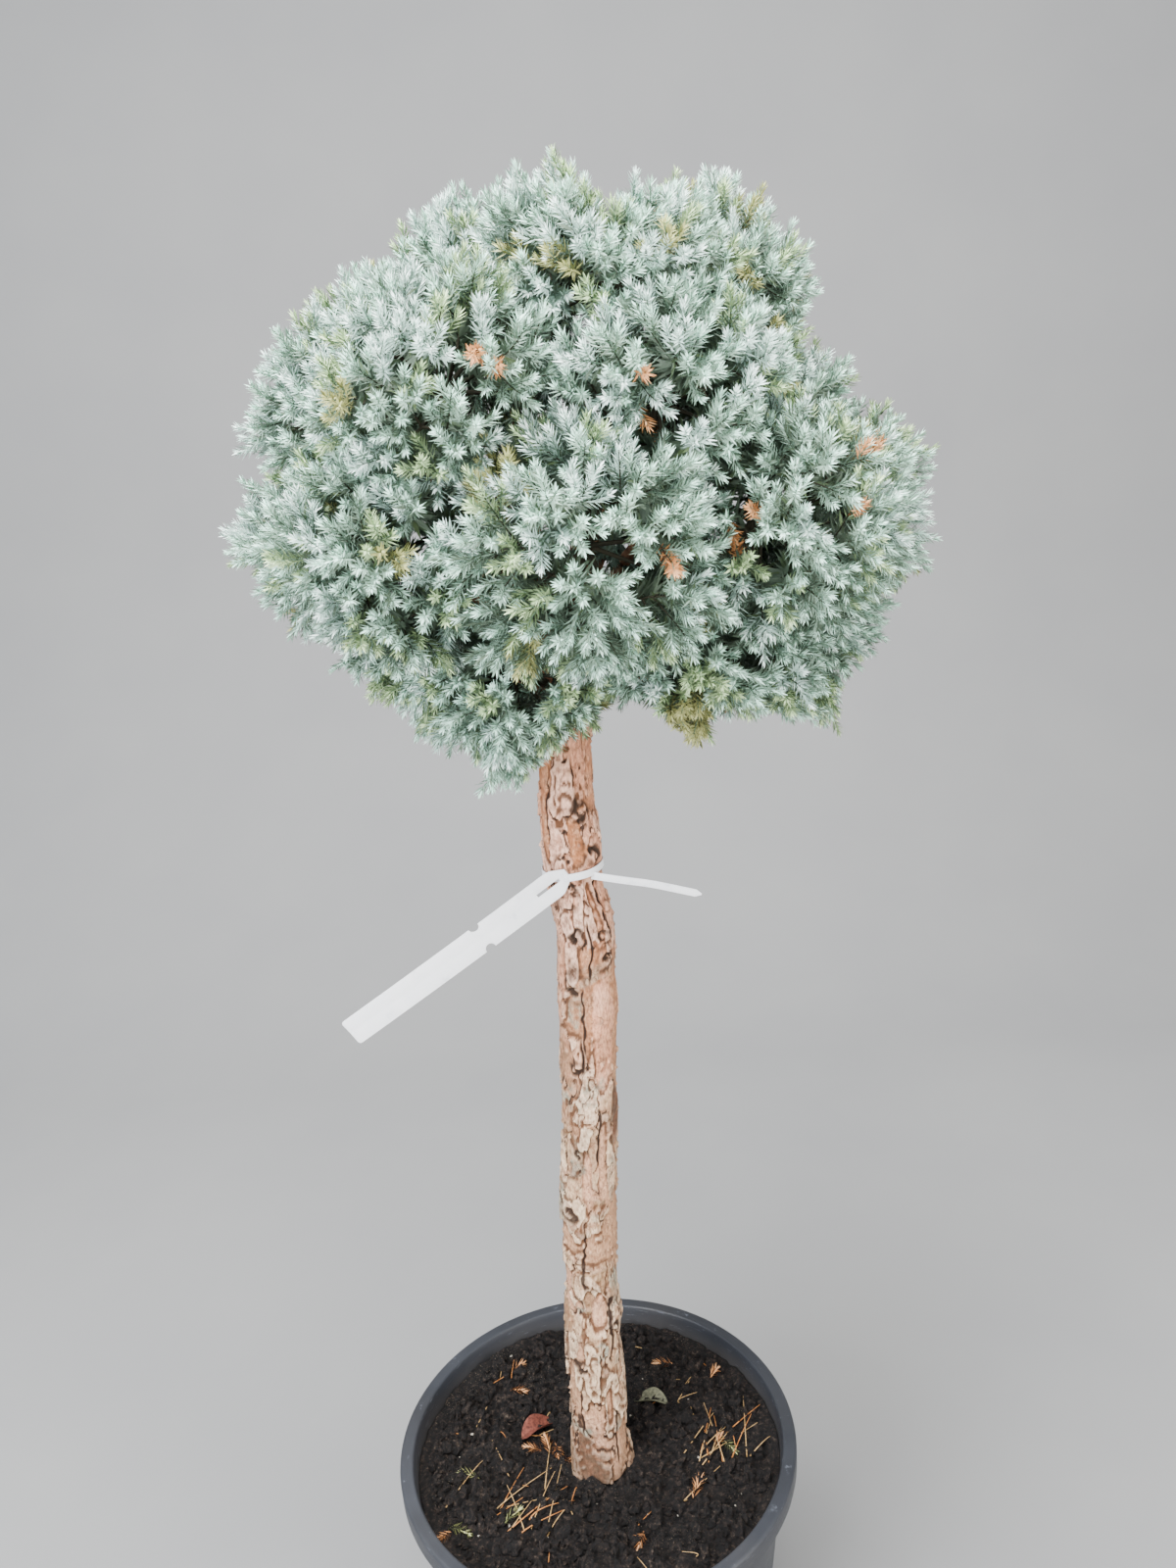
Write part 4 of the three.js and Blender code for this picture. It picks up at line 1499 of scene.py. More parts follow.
        # Most take the painted shaded copy of the needle colour, and some the half-shaded copy.
        tone = np.where(rng.random(count) < 0.2, Tone.MID, Tone.DEEP)
        Blades(base, along, radial, opening, size, width).add_to(shell, tint * len(Tone) + tone)

    def build(self) -> None:
        """Builds every mass's needles, and the twigs of each tier."""
        growths = [self.grow(mass) for mass in self.masses]
        move = self.profile.fit(np.concatenate([growth.shoots.tip for growth in growths]))
        total = 0
        for tier in TIERS:
            wood = Shell()
            for mass, growth in zip(self.masses, growths):
                if mass.tier is not tier:
                    continue
                rng = np.random.default_rng(mass.seed + 5)
                growth = growth.moved(move)
                tints = self.tints(growth, rng)
                needles = Shell()
                self.add_needles(needles, growth.shoots, tints, rng)
                self.add_old_needles(needles, growth, rng)
                piece = needles.build(f"needles_{mass.name}", self.needle_finishes, smooth=False)
                place(piece, Slot.NEEDLES, f"foliage_{mass.name}")
                total += len(piece.data.polygons)
                wood.tubes(straight(mass.bough.tip, mass.heart[None]), *RULE.stem_tube)
                wood.tubes(growth.twigs, *RULE.twig_tube)
                wood.tubes(growth.limbs, *RULE.limb_tube)
                wood.tubes(growth.branchlets, *RULE.branchlet_tube)
                wood.tubes(growth.shoots, *RULE.shoot_tube)
            piece = wood.build(f"twigs_{tier.name}", self.twig_finishes)
            place(piece, Slot.YOUNG_BARK)
            total += 2 * len(piece.data.polygons)
        log.info("crown: %d triangles", total)


@dataclass(frozen=True)
class Flakes:
    """One layer of bark flakes."""

    round: int
    height: float
    share: float
    thick: float
    seed: int


@dataclass
class Bark:
    """The trunk's flaking bark and the boughs' young bark."""

    columns: int = 190
    rows: int = 520
    front_share: float = 0.36
    layers: tuple[Flakes, ...] = (
        Flakes(6, 78, 0.56, 1.6, 31),
        Flakes(10, 44, 0.5, 1.5, 32),
        Flakes(15, 28, 0.26, 1.1, 34),
        Flakes(24, 13, 0.07, 0.8, 33),
    )
    # Smooth peeled places: level, bearing in degrees, reach up and round, and how rusty they are
    bare: tuple[Spot, ...] = (
        (1040, 282, 25, 8, 1.0), (1062, 214, 52, 6, 0.9), (842, 302, 56, 13, 0.0),
        (1150, 262, 26, 9, 0.5), (962, 300, 40, 4, 0.7), (884, 267, 78, 3.4, 0.95),
        (538, 283, 25, 8, 0.0), (690, 262, 30, 5, 0.1), (735, 300, 22, 4, 0.3), (420, 300, 26, 4, 0.6),
        (860, 60, 70, 12, 0.2), (640, 140, 60, 10, 0.4),
    )
    # Single large flakes: level, bearing in degrees, and reach up and round
    plates: tuple[Spot, ...] = (
        (1088, 258, 27, 12), (1000, 246, 26, 7), (925, 240, 24, 6), (470, 262, 34, 8),
    )
    # Rough scars: level, bearing in degrees, and size
    scars: tuple[Spot, ...] = (
        (1066, 297, 10), (1024, 318, 10), (996, 268, 6), (946, 250, 7), (944, 300, 7), (897, 240, 15),
        (917, 314, 9), (814, 238, 8), (717, 248, 6), (655, 222, 8), (520, 322, 8), (470, 240, 10),
        (1100, 130, 12),
    )
    # Long dark splits: bearing in degrees, from which level to which, and depth
    splits: tuple[Spot, ...] = (
        (226, 1030, 1112, 1.8), (275, 896, 966, 1.6), (259, 820, 900, 1.2), (318, 900, 1015, 2),
        (252, 800, 850, 1.4), (288, 700, 775, 1.4), (309, 470, 560, 2.2), (256, 560, 640, 1.5),
        (311, 342, 420, 2.2), (236, 380, 440, 1.8), (40, 420, 620, 2), (110, 700, 940, 2),
        (170, 480, 760, 2),
    )
    stem_scale: float = 0.47
    nubs: int = 300
    nub_size: Span = (1, 2)
    nub_height: Span = (1.2, 3)
    seed: int = 23
    reach: Span = (-4, 3.6)
    sunk: float = 0.2
    bough_sides: int = 14
    bough_steps: int = 26
    bough_relief: float = 0.45

    def trunk(self) -> None:
        """Builds the trunk with its bark."""
        height = np.linspace(STEM.foot, STEM.fork, self.rows)[:, None] * np.ones((1, self.columns))
        even = np.ones((self.rows, 1)) * FULL_TURN * np.arange(self.columns) / self.columns
        turn = (even - self.front_share * np.cos(even)) % FULL_TURN
        relief = Relief(self, turn, height)
        fields = relief.fields()
        radius = STEM.radius(height, turn) + relief.surface() - self.sunk
        points = STEM.middle(height) + compass(turn) * radius[..., None]
        shell = Shell()
        shell.add(points, sheet_faces(self.rows, self.columns, wraps=True), **fields)
        spokes = np.arange(self.columns)
        faces = np.stack([spokes, (spokes + 1) % self.columns, np.full_like(spokes, self.columns)], axis=-1)
        for row, order in ((0, -1), (self.rows - 1, 1)):
            ring = points[row][::order]
            ends = {name: values[row][::order] for name, values in fields.items()}
            ends = {name: np.append(values, values.mean()) for name, values in ends.items()}
            shell.add(np.vstack([ring, ring.mean(axis=0)]), faces, **ends)
        place(shell.build("trunk_bark", [BarkFinish().build()]), Slot.BARK, "trunk")

    def boughs(self, masses: list[Mass]) -> None:
        """Builds the boughs as one piece, with a little relief of their own.

        Args:
            masses: The masses that they carry.
        """
        shell = Shell()
        flecks = Waves(self.seed + 8, columns=self.bough_sides)
        share = np.linspace(0, 1, self.bough_steps + 1)
        numbers = np.arange(self.bough_sides) * np.ones((len(share), 1))
        turn = FULL_TURN * np.arange(self.bough_sides) / self.bough_sides
        for order, mass in enumerate(masses):
            along = mass.bough.along(share)
            radius = mass.tier.bough + (RULE.bough_tip_radius - mass.tier.bough) * share[:, None]
            radius = radius + self.bough_relief * flecks.at(numbers, share[:, None] * 11 + 7 * order) - 0.1
            around = turned(square_to(along)[:, None], along[:, None], turn)
            points = mass.bough.point(share)[:, None] + around * radius[..., None]
            shell.add(points, sheet_faces(len(share), self.bough_sides, wraps=True))
        piece = shell.build("bough_bark", [BOUGH_FINISH.build()])
        place(piece, Slot.YOUNG_BARK, *(f"bough_{mass.name}" for mass in masses))


class Relief:
    """The bark's relief at some places of the trunk, and the values that its finish reads."""

    def __init__(self, bark: Bark, turn: Array, height: Array) -> None:
        """Lays every flake, and adds the splits, nubs and scars.

        Args:
            bark: The bark's sizes.
            turn: Bearings in radians.
            height: Heights in millimetres, which rise from row to row.
        """
        self.bark, self.turn, self.height = bark, turn, height
        self.share = turn / FULL_TURN
        self.drift = 0.6 * self.waves(0, 12, 24) + 0.4 * self.waves(1, 38, 6)
        self.slip = 0.6 * self.waves(0, 12, 20, 5, 31) + 0.4 * self.waves(1, 38, 6, 9, 20)
        self.bare, self.rust = self.peeled()
        self.out = 1.4 * self.waves(3, 7, 48) - 0.6
        self.crack, self.cover, self.scar = np.zeros((3, *self.out.shape))
        self.tone = np.full_like(self.out, 0.5)
        for layer in bark.layers:
            self.lay_flakes(layer)
        for spot in bark.plates:
            self.lay_plate(spot)
        self.out *= 1.15 + 0.3 * eased(640, 440, height)
        for split in bark.splits:
            self.cut_split(*split)
        self.out += 0.25 * self.waves(4, 84, 2.6)
        self.add_nubs()
        for scar in bark.scars:
            self.add_scar(*scar)

    def waves(self, table: int, columns: int, tall: float, right: float = 0.0, up: float = 0.0) -> Array:
        """Noise that wraps round the trunk.

        Args:
            table: Which of the bark's tables of noise it reads.
            columns: How many waves go round.
            tall: The height of a wave.
            right: How far to the right the table is read, in waves.
            up: How far up the table is read, in waves.

        Returns:
            Values from -1 to 1.
        """
        noise = Waves(self.bark.seed + table, columns=columns)
        return noise.at(self.share * columns + right, self.height / tall + up)

    def swing(self, degrees: float, rows: slice = slice(None)) -> Array:
        """How far round the trunk the places of some rows are from a bearing, in millimetres."""
        return ((np.degrees(self.turn[rows]) - degrees + 180) % 360 - 180) * self.bark.stem_scale

    def patch(self, spot: Spot, roundness: float = 2.8) -> Array:
        """An uneven patch.

        Args:
            spot: Its level, its bearing in degrees, and its reach up and round.
            roundness: 2 for an ellipse, and more for fuller corners.

        Returns:
            How far the places are within it: over 0 inside, 1 in its middle.
        """
        level, degrees, reach_up, reach_round = spot
        up, right = (self.height - level) / reach_up, self.swing(degrees) / reach_round
        away = np.abs(up) ** roundness + np.abs(right) ** roundness
        return 1 - away ** (1 / roundness) + 0.42 * self.drift

    def peeled(self) -> tuple[Array, Array]:
        """How smooth and bare the bark is, and how rusty there, each from 0 to 1."""
        noise = self.waves(5, 5, 62, 0.2)
        bare = eased(0.38, 0.52, noise + 0.3 * self.drift - 0.3 * eased(900, 600, self.height))
        rust = np.clip(0.55 + 0.7 * noise, 0, 1)
        for *spot, rusty in self.bark.bare:
            inside = eased(-0.04, 0.1, self.patch(spot))
            bare = np.maximum(bare, inside)
            rust = rust * (1 - inside) + rusty * inside
        return bare, rust

    def lay(self, body: Array, stands: Array, hides: float, crack: Array, tone: Array | float) -> None:
        """Lays flakes over what is there.

        Args:
            body: Where they lie, from 0 to 1.
            stands: How far they stand out.
            hides: How much they hide of the cracks below.
            crack: How dark the cracks and the painted shadows round them are.
            tone: Their tone.
        """
        self.out += stands
        self.crack = np.maximum(self.crack * (1 - hides * body), crack)
        self.tone = self.tone * (1 - body) + tone * body
        self.cover = np.maximum(self.cover, body)

    def lay_flakes(self, layer: Flakes) -> None:
        """Lays one layer of flakes, which is thinner where the bark is bare.

        Args:
            layer: The layer.
        """
        across = self.share * layer.round + 0.36 * self.drift
        up = (self.height - 300) / layer.height + 0.4 * self.slip
        cells = cells_at(across, up, layer.round, self.bark.seed + layer.seed)
        small, smooth = layer.round / 24, 1 - eased(960, 720, self.height)
        limit = layer.share * (1 - 0.5 * small * smooth) * (1 - 1.2 * self.bare)
        own, other = cells.draw < limit, cells.next_draw < limit
        body = own * eased(0, 0.08, cells.edge)
        lip = own * eased(0.5, 0.06, cells.edge)
        stands = layer.thick * body * (0.7 + 0.15 * lip + 1.1 * cells.tilt)
        shade = np.clip(0.75 + 0.9 * self.waves(1, 38, 9, 3, layer.seed), 0.1, 1) * (1.1 - 0.5 * small)
        # Painted shadow: the cracks darken the bare under-bark along a flake's edge, below its lifted rim,
        # and the seams where two flakes meet.
        beside = (other & ~own) * eased(0.15, 0.02, cells.edge)
        between = (own & other) * eased(0.08, 0.01, cells.edge)
        self.lay(body, stands, 0.85, shade * np.maximum(beside, 0.7 * between), cells.tone)

    def lay_plate(self, spot: Spot) -> None:
        """Lays a single large flake.

        Args:
            spot: Its level, its bearing in degrees, and its reach up and round.
        """
        inside = self.patch(spot)
        body = eased(0, 0.07, inside)
        stands = 1.5 * body * (0.7 + 0.5 * eased(0.4, 0.1, inside))
        shade = np.clip(0.5 + 1.1 * self.waves(1, 38, 9, 3), 0, 1)
        # A painted shadow darkens the bark just round the plate's edge.
        self.lay(body, stands, 0.8, shade * eased(-0.1, -0.02, inside) * (1 - body), 0.62)

    def cut_split(self, degrees: float, low: float, high: float, depth: float) -> None:
        """Cuts a long dark split.

        Args:
            degrees: Its bearing.
            low: Where it starts.
            high: Where it ends.
            depth: How deep it is.
        """
        ends = eased(low, low + 14, self.height) * eased(high, high - 14, self.height)
        width = 1.2 + 0.8 * self.waves(0, 12, 20, 2)
        groove = np.exp(-(((self.swing(degrees) + 4 * self.drift) / width) ** 2)) * ends
        self.out -= depth * groove
        # The split is darkened along its groove, partly its own dark colour and partly painted shade.
        self.crack = np.maximum(self.crack, groove)

    def add_nubs(self) -> None:
        """Adds small nubs, the stubs of shoots that were rubbed off."""
        rng = np.random.default_rng(self.bark.seed + 6)
        for _ in range(self.bark.nubs):
            level = 340 + 880 * rng.random() ** 1.35
            bearing = rng.uniform(0, 360)
            size, stands = rng.uniform(*self.bark.nub_size), rng.uniform(*self.bark.nub_height)
            near = slice(*np.searchsorted(self.height[:, 0], (level - 3 * size, level + 3 * size)))
            away = (self.swing(bearing, near) / size) ** 2 + ((self.height[near] - level) / size) ** 2
            self.out[near] += stands * np.exp(-away)

    def add_scar(self, level: float, degrees: float, size: float) -> None:
        """Adds the rough, swirling scar of an old shoot.

        Args:
            level: Its height.
            degrees: Its bearing.
            size: How far it reaches.
        """
        right = self.swing(degrees) + 0.75 * size * self.drift
        up = (self.height - level) * 0.85 + 0.75 * size * self.slip
        away = np.hypot(right, up) / size
        inside = np.exp(-(away**2) * 1.6)
        swirl = np.sin(5.5 * away + np.arctan2(up, right) + math.radians(degrees * 7))
        self.out += (1.9 * swirl - 0.3) * inside
        self.scar = np.maximum(self.scar, np.clip(inside * (0.75 - 0.9 * swirl) * 1.5, 0, 0.92))

    def surface(self) -> Array:
        """How far the bark stands out, in millimetres."""
        return np.clip(self.out, *self.bark.reach)

    def fields(self) -> dict[str, Array]:
        """The values that the bark's finish reads, each from 0 to 1."""
        shifts = [(i, k) for i in (-3, 0, 3) for k in (-4, -2, 0, 2, 4)]
        around = np.mean([np.roll(self.out, shift, (0, 1)) for shift in shifts], axis=0)
        lichen = self.waves(7, 9, 26) + 0.5 * self.drift
        return {
            # Painted shade in the hollows and a painted highlight on the ridges, found against the mean
            # height of the places round about.
            "hollow": np.clip((around - self.out - 0.05) / 0.65, 0, 1),
            "ridge": np.clip((self.out - around - 0.05) / 0.8, 0, 1),
            "crack": np.clip(self.crack, 0, 1),
            "tone": self.tone,
            "peel": 1 - self.cover,
            "rust": self.rust,
            # Pinker bark higher up, which its finish also paints lighter against the crown's shade.
            "blush": eased(700, 1010, self.height + 90 * self.slip),
            "scar": self.scar,
            "damp": np.exp(-(self.height - STEM.foot) / 14),
            "lichen": eased(0.4, 0.7, lichen) * eased(1000, 800, self.height),
        }


@dataclass
class Pot:
    """A round nursery pot with a flat rim, a turned-down lip and drain holes."""

    height: float = 360
    rim_radius: float = 210
    rim_width: float = 12.5
    lip_drop: float = 21
    wall: float = 2.6
    base_radius: float = 160
    floor: float = 3.6
    sides: int = 180
    drain_holes: int = 5
    drain_radius: float = 7
    drain_ring: float = 126
    soil_level: float = 331
    seed: int = 71
    patches: int = 22
    patch_height: float = 40

    def inside(self, height: Array | float) -> Array | float:
        """The inner radius at a height."""
        share = (height - self.floor) / (self.height - self.floor)
        return self.base_radius + (self.rim_radius - self.rim_width - self.base_radius) * share - self.wall

    def corner(self, middle: Span, radius: float, start: float, end: float) -> list[tuple]:
        """Points of a rounded corner in the profile, as radius and height."""
        turns = np.radians(np.linspace(start, end, 5))
        return [(middle[0] + radius * math.cos(a), middle[1] + radius * math.sin(a)) for a in turns]

    def profile(self) -> list[Span]:
        """The pot's section, as radius and height from the base's middle round to the floor's."""
        rim, top, wall = self.rim_radius, self.height, self.wall
        wall_top = rim - self.rim_width
        outer = np.linspace(0, 1, 26)[1:-1]
        points: list[Span] = [(0.01, 0), (self.base_radius - 18, 0), (self.base_radius - 4, 0)]
        points += self.corner((self.base_radius - 3, 3), 3, -90, 0)
        points += [(self.base_radius + (wall_top - self.base_radius) * s, (top - wall) * s) for s in outer]
        points += [(wall_top, top - wall - 1), (wall_top + 1.2, top - wall), (rim - wall - 1.2, top - wall)]
        points += [(rim - wall, top - wall - 1.2), (rim - wall - 0.2, top - self.lip_drop + 0.6)]
        points += self.corner((rim - wall / 2, top - self.lip_drop + 1.2), 1.2, 200, 340)
        points += [(rim - 0.1, top - self.lip_drop / 2)]
        points += self.corner((rim - 3.2, top - 3.2), 3.2, 0, 90)
        points += [(rim - self.rim_width * 0.45, top - 0.25), (wall_top + 1.5, top)]
        points += self.corner((wall_top + 0.6, top - 2.4), 2.4, 90, 170)
        points += [(self.inside(h), h) for h in np.linspace(top - 6, self.floor + 3, 22)]
        points += [(self.inside(self.floor) - 3, self.floor), (0.01, self.floor)]
        return points

    def build(self) -> None:
        """Builds the pot and cuts its drain holes."""
        section = np.array(self.profile())
        turn = FULL_TURN * np.arange(self.sides) / self.sides
        shape = xyz(section[:, :1] * np.cos(turn), section[:, :1] * np.sin(turn), section[:, 1:])
        radius, height = section[:, :1] * np.ones_like(turn), shape[..., 2]
        patches = Waves(self.seed, columns=self.patches)
        wobble = patches.at(turn * self.patches / FULL_TURN + 0 * height, height / self.patch_height)
        rim = eased(self.height - 26, self.height - 12, height)
        wear = np.clip(0.25 + 0.75 * rim + 0.45 * wobble, 0.05, 1)
        within = radius < self.inside(np.maximum(height, self.floor)) + 1
        splash = within * eased(self.height, self.soil_level, height)
        dust = np.clip(splash + 0.35 * eased(90, 0, height) + 0.3 * wobble * rim, 0, 1)
        shell = Shell()
        faces = sheet_faces(len(section), self.sides, wraps=True)
        shell.add(shape, faces, wear=wear, dust=dust)
        pot = shell.build("nursery_pot", [PotFinish().build()])
        cutter = self.drill()
        modify(pot, "BOOLEAN", operation="DIFFERENCE", solver="EXACT", object=cutter)
        bpy.data.objects.remove(cutter)
        place(pot, Slot.POT, "pot")

    def drill(self) -> bpy.types.Object:
        """The pegs that cut the drain holes, as one object."""
        turns = FULL_TURN * (np.arange(self.drain_holes) + 0.5) / self.drain_holes
        around = compass(turns) * self.drain_ring
        shell = Shell()
        sides, radius = 24, self.drain_radius
        shell.tubes(straight(around - UP * 10, around + UP * 14), radius, radius, sides, 1)
        ring = np.arange(sides)
        for i in range(self.drain_holes):
            first = 2 * sides * i
            shell.faces.append(np.stack([first + ring[::-1], first + sides + ring]))
            shell.finishes.append(np.zeros(2, int))
        return shell.build("drain_drill", [])


@dataclass(frozen=True)
class Lumps:
    """One scatter of rough little lumps on the soil, from a small to a large radius."""

    name: str
    count: int
    small: float
    large: float
    seed: int
    rows: int = 5
    columns: int = 8


@dataclass(frozen=True)
class Leaf:
    """One curled dead leaf: its place, the way its tip points in degrees, and its length."""

    name: str
    middle: Span
    turn: float
    size: float
    rows: int = 17
    columns: int = 9
    half_width: float = 0.23
    thickness: float = 0.4


@dataclass
class Soil:
    """Potting soil with clods, grit, straws, fallen sprigs and dead leaves on it."""

    pot: Pot
    crown: Crown
    rings: int = 96
    segments: int = 280
    clods: Lumps = Lumps("soil_clods", 2400, 1.3, 11, 47)
    grit: Lumps = Lumps("soil_grit", 46, 0.8, 2.2, 48)
    straw_count: int = 64
    long_straws: int = 30
    straw_lengths: tuple[Span, Span] = ((36, 88), (9, 26))
    straw_radii: Span = (0.75, 0.5)
    straw_piles: tuple[Span, ...] = ((-96, -78), (112, -24))
    sprig_count: int = 16
    sprig_places: tuple[Span, ...] = (
        (-52, 4), (-46, 12), (-60, 10), (-40, -4), (132, 6), (126, -6), (-156, -84), (-148, -92), (-98, 118)
    )
    red_leaf: Leaf = Leaf("fallen_leaf_red", (-65, 40), 35, 46)
    grey_leaf: Leaf = Leaf("fallen_leaf_grey", (60, 66), 165, 40)
    seed: int = 41

    def __post_init__(self) -> None:
        """Draws the soil's unevenness."""
        self.broad = Waves(self.seed)
        self.fine = Waves(self.seed + 1)
        self.reach = self.pot.inside(self.pot.soil_level)

    def level(self, x: Array, y: Array) -> Array:
        """The height of the soil's surface.

        Args:
            x: Places to the right.
            y: Places to the back.

        Returns:
            Heights in millimetres.
        """
        foot = STEM.middle(STEM.foot)
        edge = np.hypot(x, y) / self.reach
        lumps = 3.6 * self.broad.at(x / 34 + 9, y / 34 + 9) + 2.6 * self.broad.at(x / 11 + 40, y / 11 + 17)
        crumbs = 1.8 * self.fine.at(x / 4.6 + 50, y / 4.6 + 50) + 0.8 * self.fine.at(x / 1.9, y / 1.9)
        mound = 5 * np.exp(-((np.hypot(x - foot[0], y - foot[1]) / 46) ** 4))
        return self.pot.soil_level + 10 * edge**2 + lumps + crumbs + mound - 2.5

    def settle(self, points: Array, lift: Array | float = 0.0) -> None:
        """Moves points up or down onto the soil, or above it by a lift."""
        points[:, 2] = self.level(points[:, 0], points[:, 1]) + lift

    def ground(self) -> None:
        """Builds the soil itself, down to the pot's floor."""
        shell = Shell()
        turn = FULL_TURN * np.arange(self.segments) / self.segments
        reach = (self.pot.inside(self.pot.soil_level + 5) - 0.3) * np.linspace(0.004, 1, self.rings)[:, None]
        x, y = reach * np.cos(turn), reach * np.sin(turn)
        floor = self.pot.floor + 0.5
        reach = self.pot.inside(floor) - 0.4
        ring = xyz(reach * np.cos(turn), reach * np.sin(turn), floor)
        points = np.concatenate([xyz(x, y, self.level(x, y)), ring[None], (ring * [0.004, 0.004, 1])[None]])
        shell.add(points, sheet_faces(len(points), self.segments, wraps=True))
        place(shell.build("soil_surface", [SoilFinish().build()]), Slot.SOIL, "soil")

    def scatter(self, rng: Rng, count: int, margin: float = 12) -> Array:
        """Random places on the soil, clear of the trunk.

        Args:
            rng: Source of random numbers.
            count: How many places to find.
            margin: How far they stay from the pot's wall.

        Returns:
            Points on the soil's surface.
        """
        foot = STEM.middle(STEM.foot)
        reach = (self.reach - margin) * np.sqrt(rng.random(3 * count))
        turn = rng.uniform(0, FULL_TURN, 3 * count)
        x, y = reach * np.cos(turn), reach * np.sin(turn)
        clear = np.hypot(x - foot[0], y - foot[1]) > RULE.trunk_gap
        x, y = x[clear][:count], y[clear][:count]
        return xyz(x, y, self.level(x, y))

    def stones(self, lumps: Lumps, finish: Material) -> None:
        """Builds a scatter of lumps.

        Args:
            lumps: The scatter.
            finish: Its finish.
        """
        rng = np.random.default_rng(lumps.seed)
        polar = np.linspace(0.06, math.pi - 0.06, lumps.rows)[:, None]
        turn = FULL_TURN * np.arange(lumps.columns) / lumps.columns
        sphere = xyz(np.sin(polar) * np.cos(turn), np.sin(polar) * np.sin(turn), np.cos(polar)).reshape(-1, 3)
        faces = sheet_faces(lumps.rows, lumps.columns, wraps=True)[:, ::-1]
        spots = self.scatter(rng, lumps.count)
        size = lumps.small + (lumps.large - lumps.small) * rng.random(len(spots)) ** 3.0
        bumps = rng.uniform(0.5, 1.35, (len(spots), len(sphere), 1))
        squash = rng.uniform(0.55, 1.0, (len(spots), 1, 3))
        points = sphere * bumps * squash * size[:, None, None]
        points = points + spots[:, None] + UP * (size * 0.25)[:, None, None]
        shell = Shell()
        shell.add(points, repeated(faces, len(spots), len(sphere)))
        place(shell.build(lumps.name, [finish], smooth=False), Slot.SOIL)

    def straws(self) -> None:
        """Builds dry stems and needles that lie across the soil."""
        rng = np.random.default_rng(self.seed + 3)
        roots = self.scatter(rng, self.straw_count, margin=20)
        count, many, piles = len(roots), self.long_straws, np.array(self.straw_piles)
        roots[:many, :2] = piles[np.arange(many) % len(piles)] + rng.normal(0, 26, (many, 2))
        self.settle(roots)
        turn = rng.uniform(0, FULL_TURN, count)
        turn[:many] = rng.normal(1.05, 0.6, many)
        first = np.arange(count) < many
        length = np.where(first, *(rng.uniform(*span, count) for span in self.straw_lengths))
        tips = roots + compass(turn) * length[:, None]
        tips[:, :2] *= np.minimum(1, (self.reach - 8) / np.hypot(tips[:, 0], tips[:, 1]))[:, None]
        self.settle(tips, rng.uniform(1, 8, count))
        bends = (roots + tips) / 2 + turned(square_to(UP), UP, turn) * rng.normal(0, 12, count)[:, None]
        self.settle(bends, rng.uniform(3, 12, count))
        shell = Shell()
        finishes = [
            litter("straw_pale", 0x967648, 0xC8A674),
            litter("straw_rust", 0x965A2C, 0xCC8C50),
        ]
        thick = np.where(first, *self.straw_radii)
        shell.tubes(Axes(roots + UP, bends, tips), thick, 0.25, 5, 8, rng.integers(0, len(finishes), count))
        place(shell.build("fallen_straws", finishes), Slot.SOIL)

    def sprigs(self) -> None:
        """Builds fallen sprigs with brown needles."""
        rng = np.random.default_rng(self.seed + 4)
        roots = self.scatter(rng, self.sprig_count, margin=32)
        roots[: len(self.sprig_places), :2] = self.sprig_places
        self.settle(roots)
        turn = rng.uniform(0, FULL_TURN, len(roots))
        tips = roots + compass(turn, 0.12) * rng.uniform(16, 30, len(roots))[:, None]
        axes = Axes(roots + UP * 3, (roots + tips) / 2 + UP * 6, tips + UP * 2)
        shell = Shell()
        tints = np.where(rng.random(len(roots)) < 0.8, Tint.DEAD, Tint.OLIVE)
        self.crown.add_needles(shell, axes, tints, rng)
        place(shell.build("fallen_sprigs", self.crown.needle_finishes, smooth=False), Slot.SOIL)

    def fallen(self, leaf: Leaf, finish: Material) -> None:
        """Builds one dead leaf.

        Args:
            leaf: The leaf.
            finish: Its finish.
        """
        along = np.linspace(0, 1, leaf.rows)[:, None] * np.ones((1, leaf.columns))
        across = np.ones((leaf.rows, 1)) * np.linspace(-1, 1, leaf.columns)
        half = leaf.half_width * leaf.size * np.sin(math.pi * along**0.8) ** 0.7 + 0.2
        x, y = (along - 0.5) * leaf.size, across * half
        curl = 0.22 * across**2 * np.sin(math.pi * along) + 0.07 * np.sin(along * 5)
        c, s = math.cos(math.radians(leaf.turn)), math.sin(math.radians(leaf.turn))
        x, y = leaf.middle[0] + x * c - y * s, leaf.middle[1] + x * s + y * c
        base = self.level(x, y).max() + 0.4
        shell = Shell()
        points = xyz(x, y, base + leaf.size * curl + 0.5 * np.abs(across))
        shell.add(points, sheet_faces(leaf.rows, leaf.columns))
        piece = shell.build(leaf.name, [finish])
        modify(piece, "SOLIDIFY", thickness=leaf.thickness * MM)
        place(piece, Slot.SOIL)

    def build(self) -> None:
        """Builds the soil and all that lies on it."""
        self.ground()
        self.stones(self.clods, bpy.data.materials["potting_soil"])
        self.stones(self.grit, litter("pale_grit", 0x8E867A, 0xC9C2B4))
        self.straws()
        self.sprigs()
        self.fallen(self.red_leaf, litter("leaf_red", 0x4A241C, 0x7C4436))
        self.fallen(self.grey_leaf, litter("leaf_grey", 0x4A4A3C, 0x74745E))


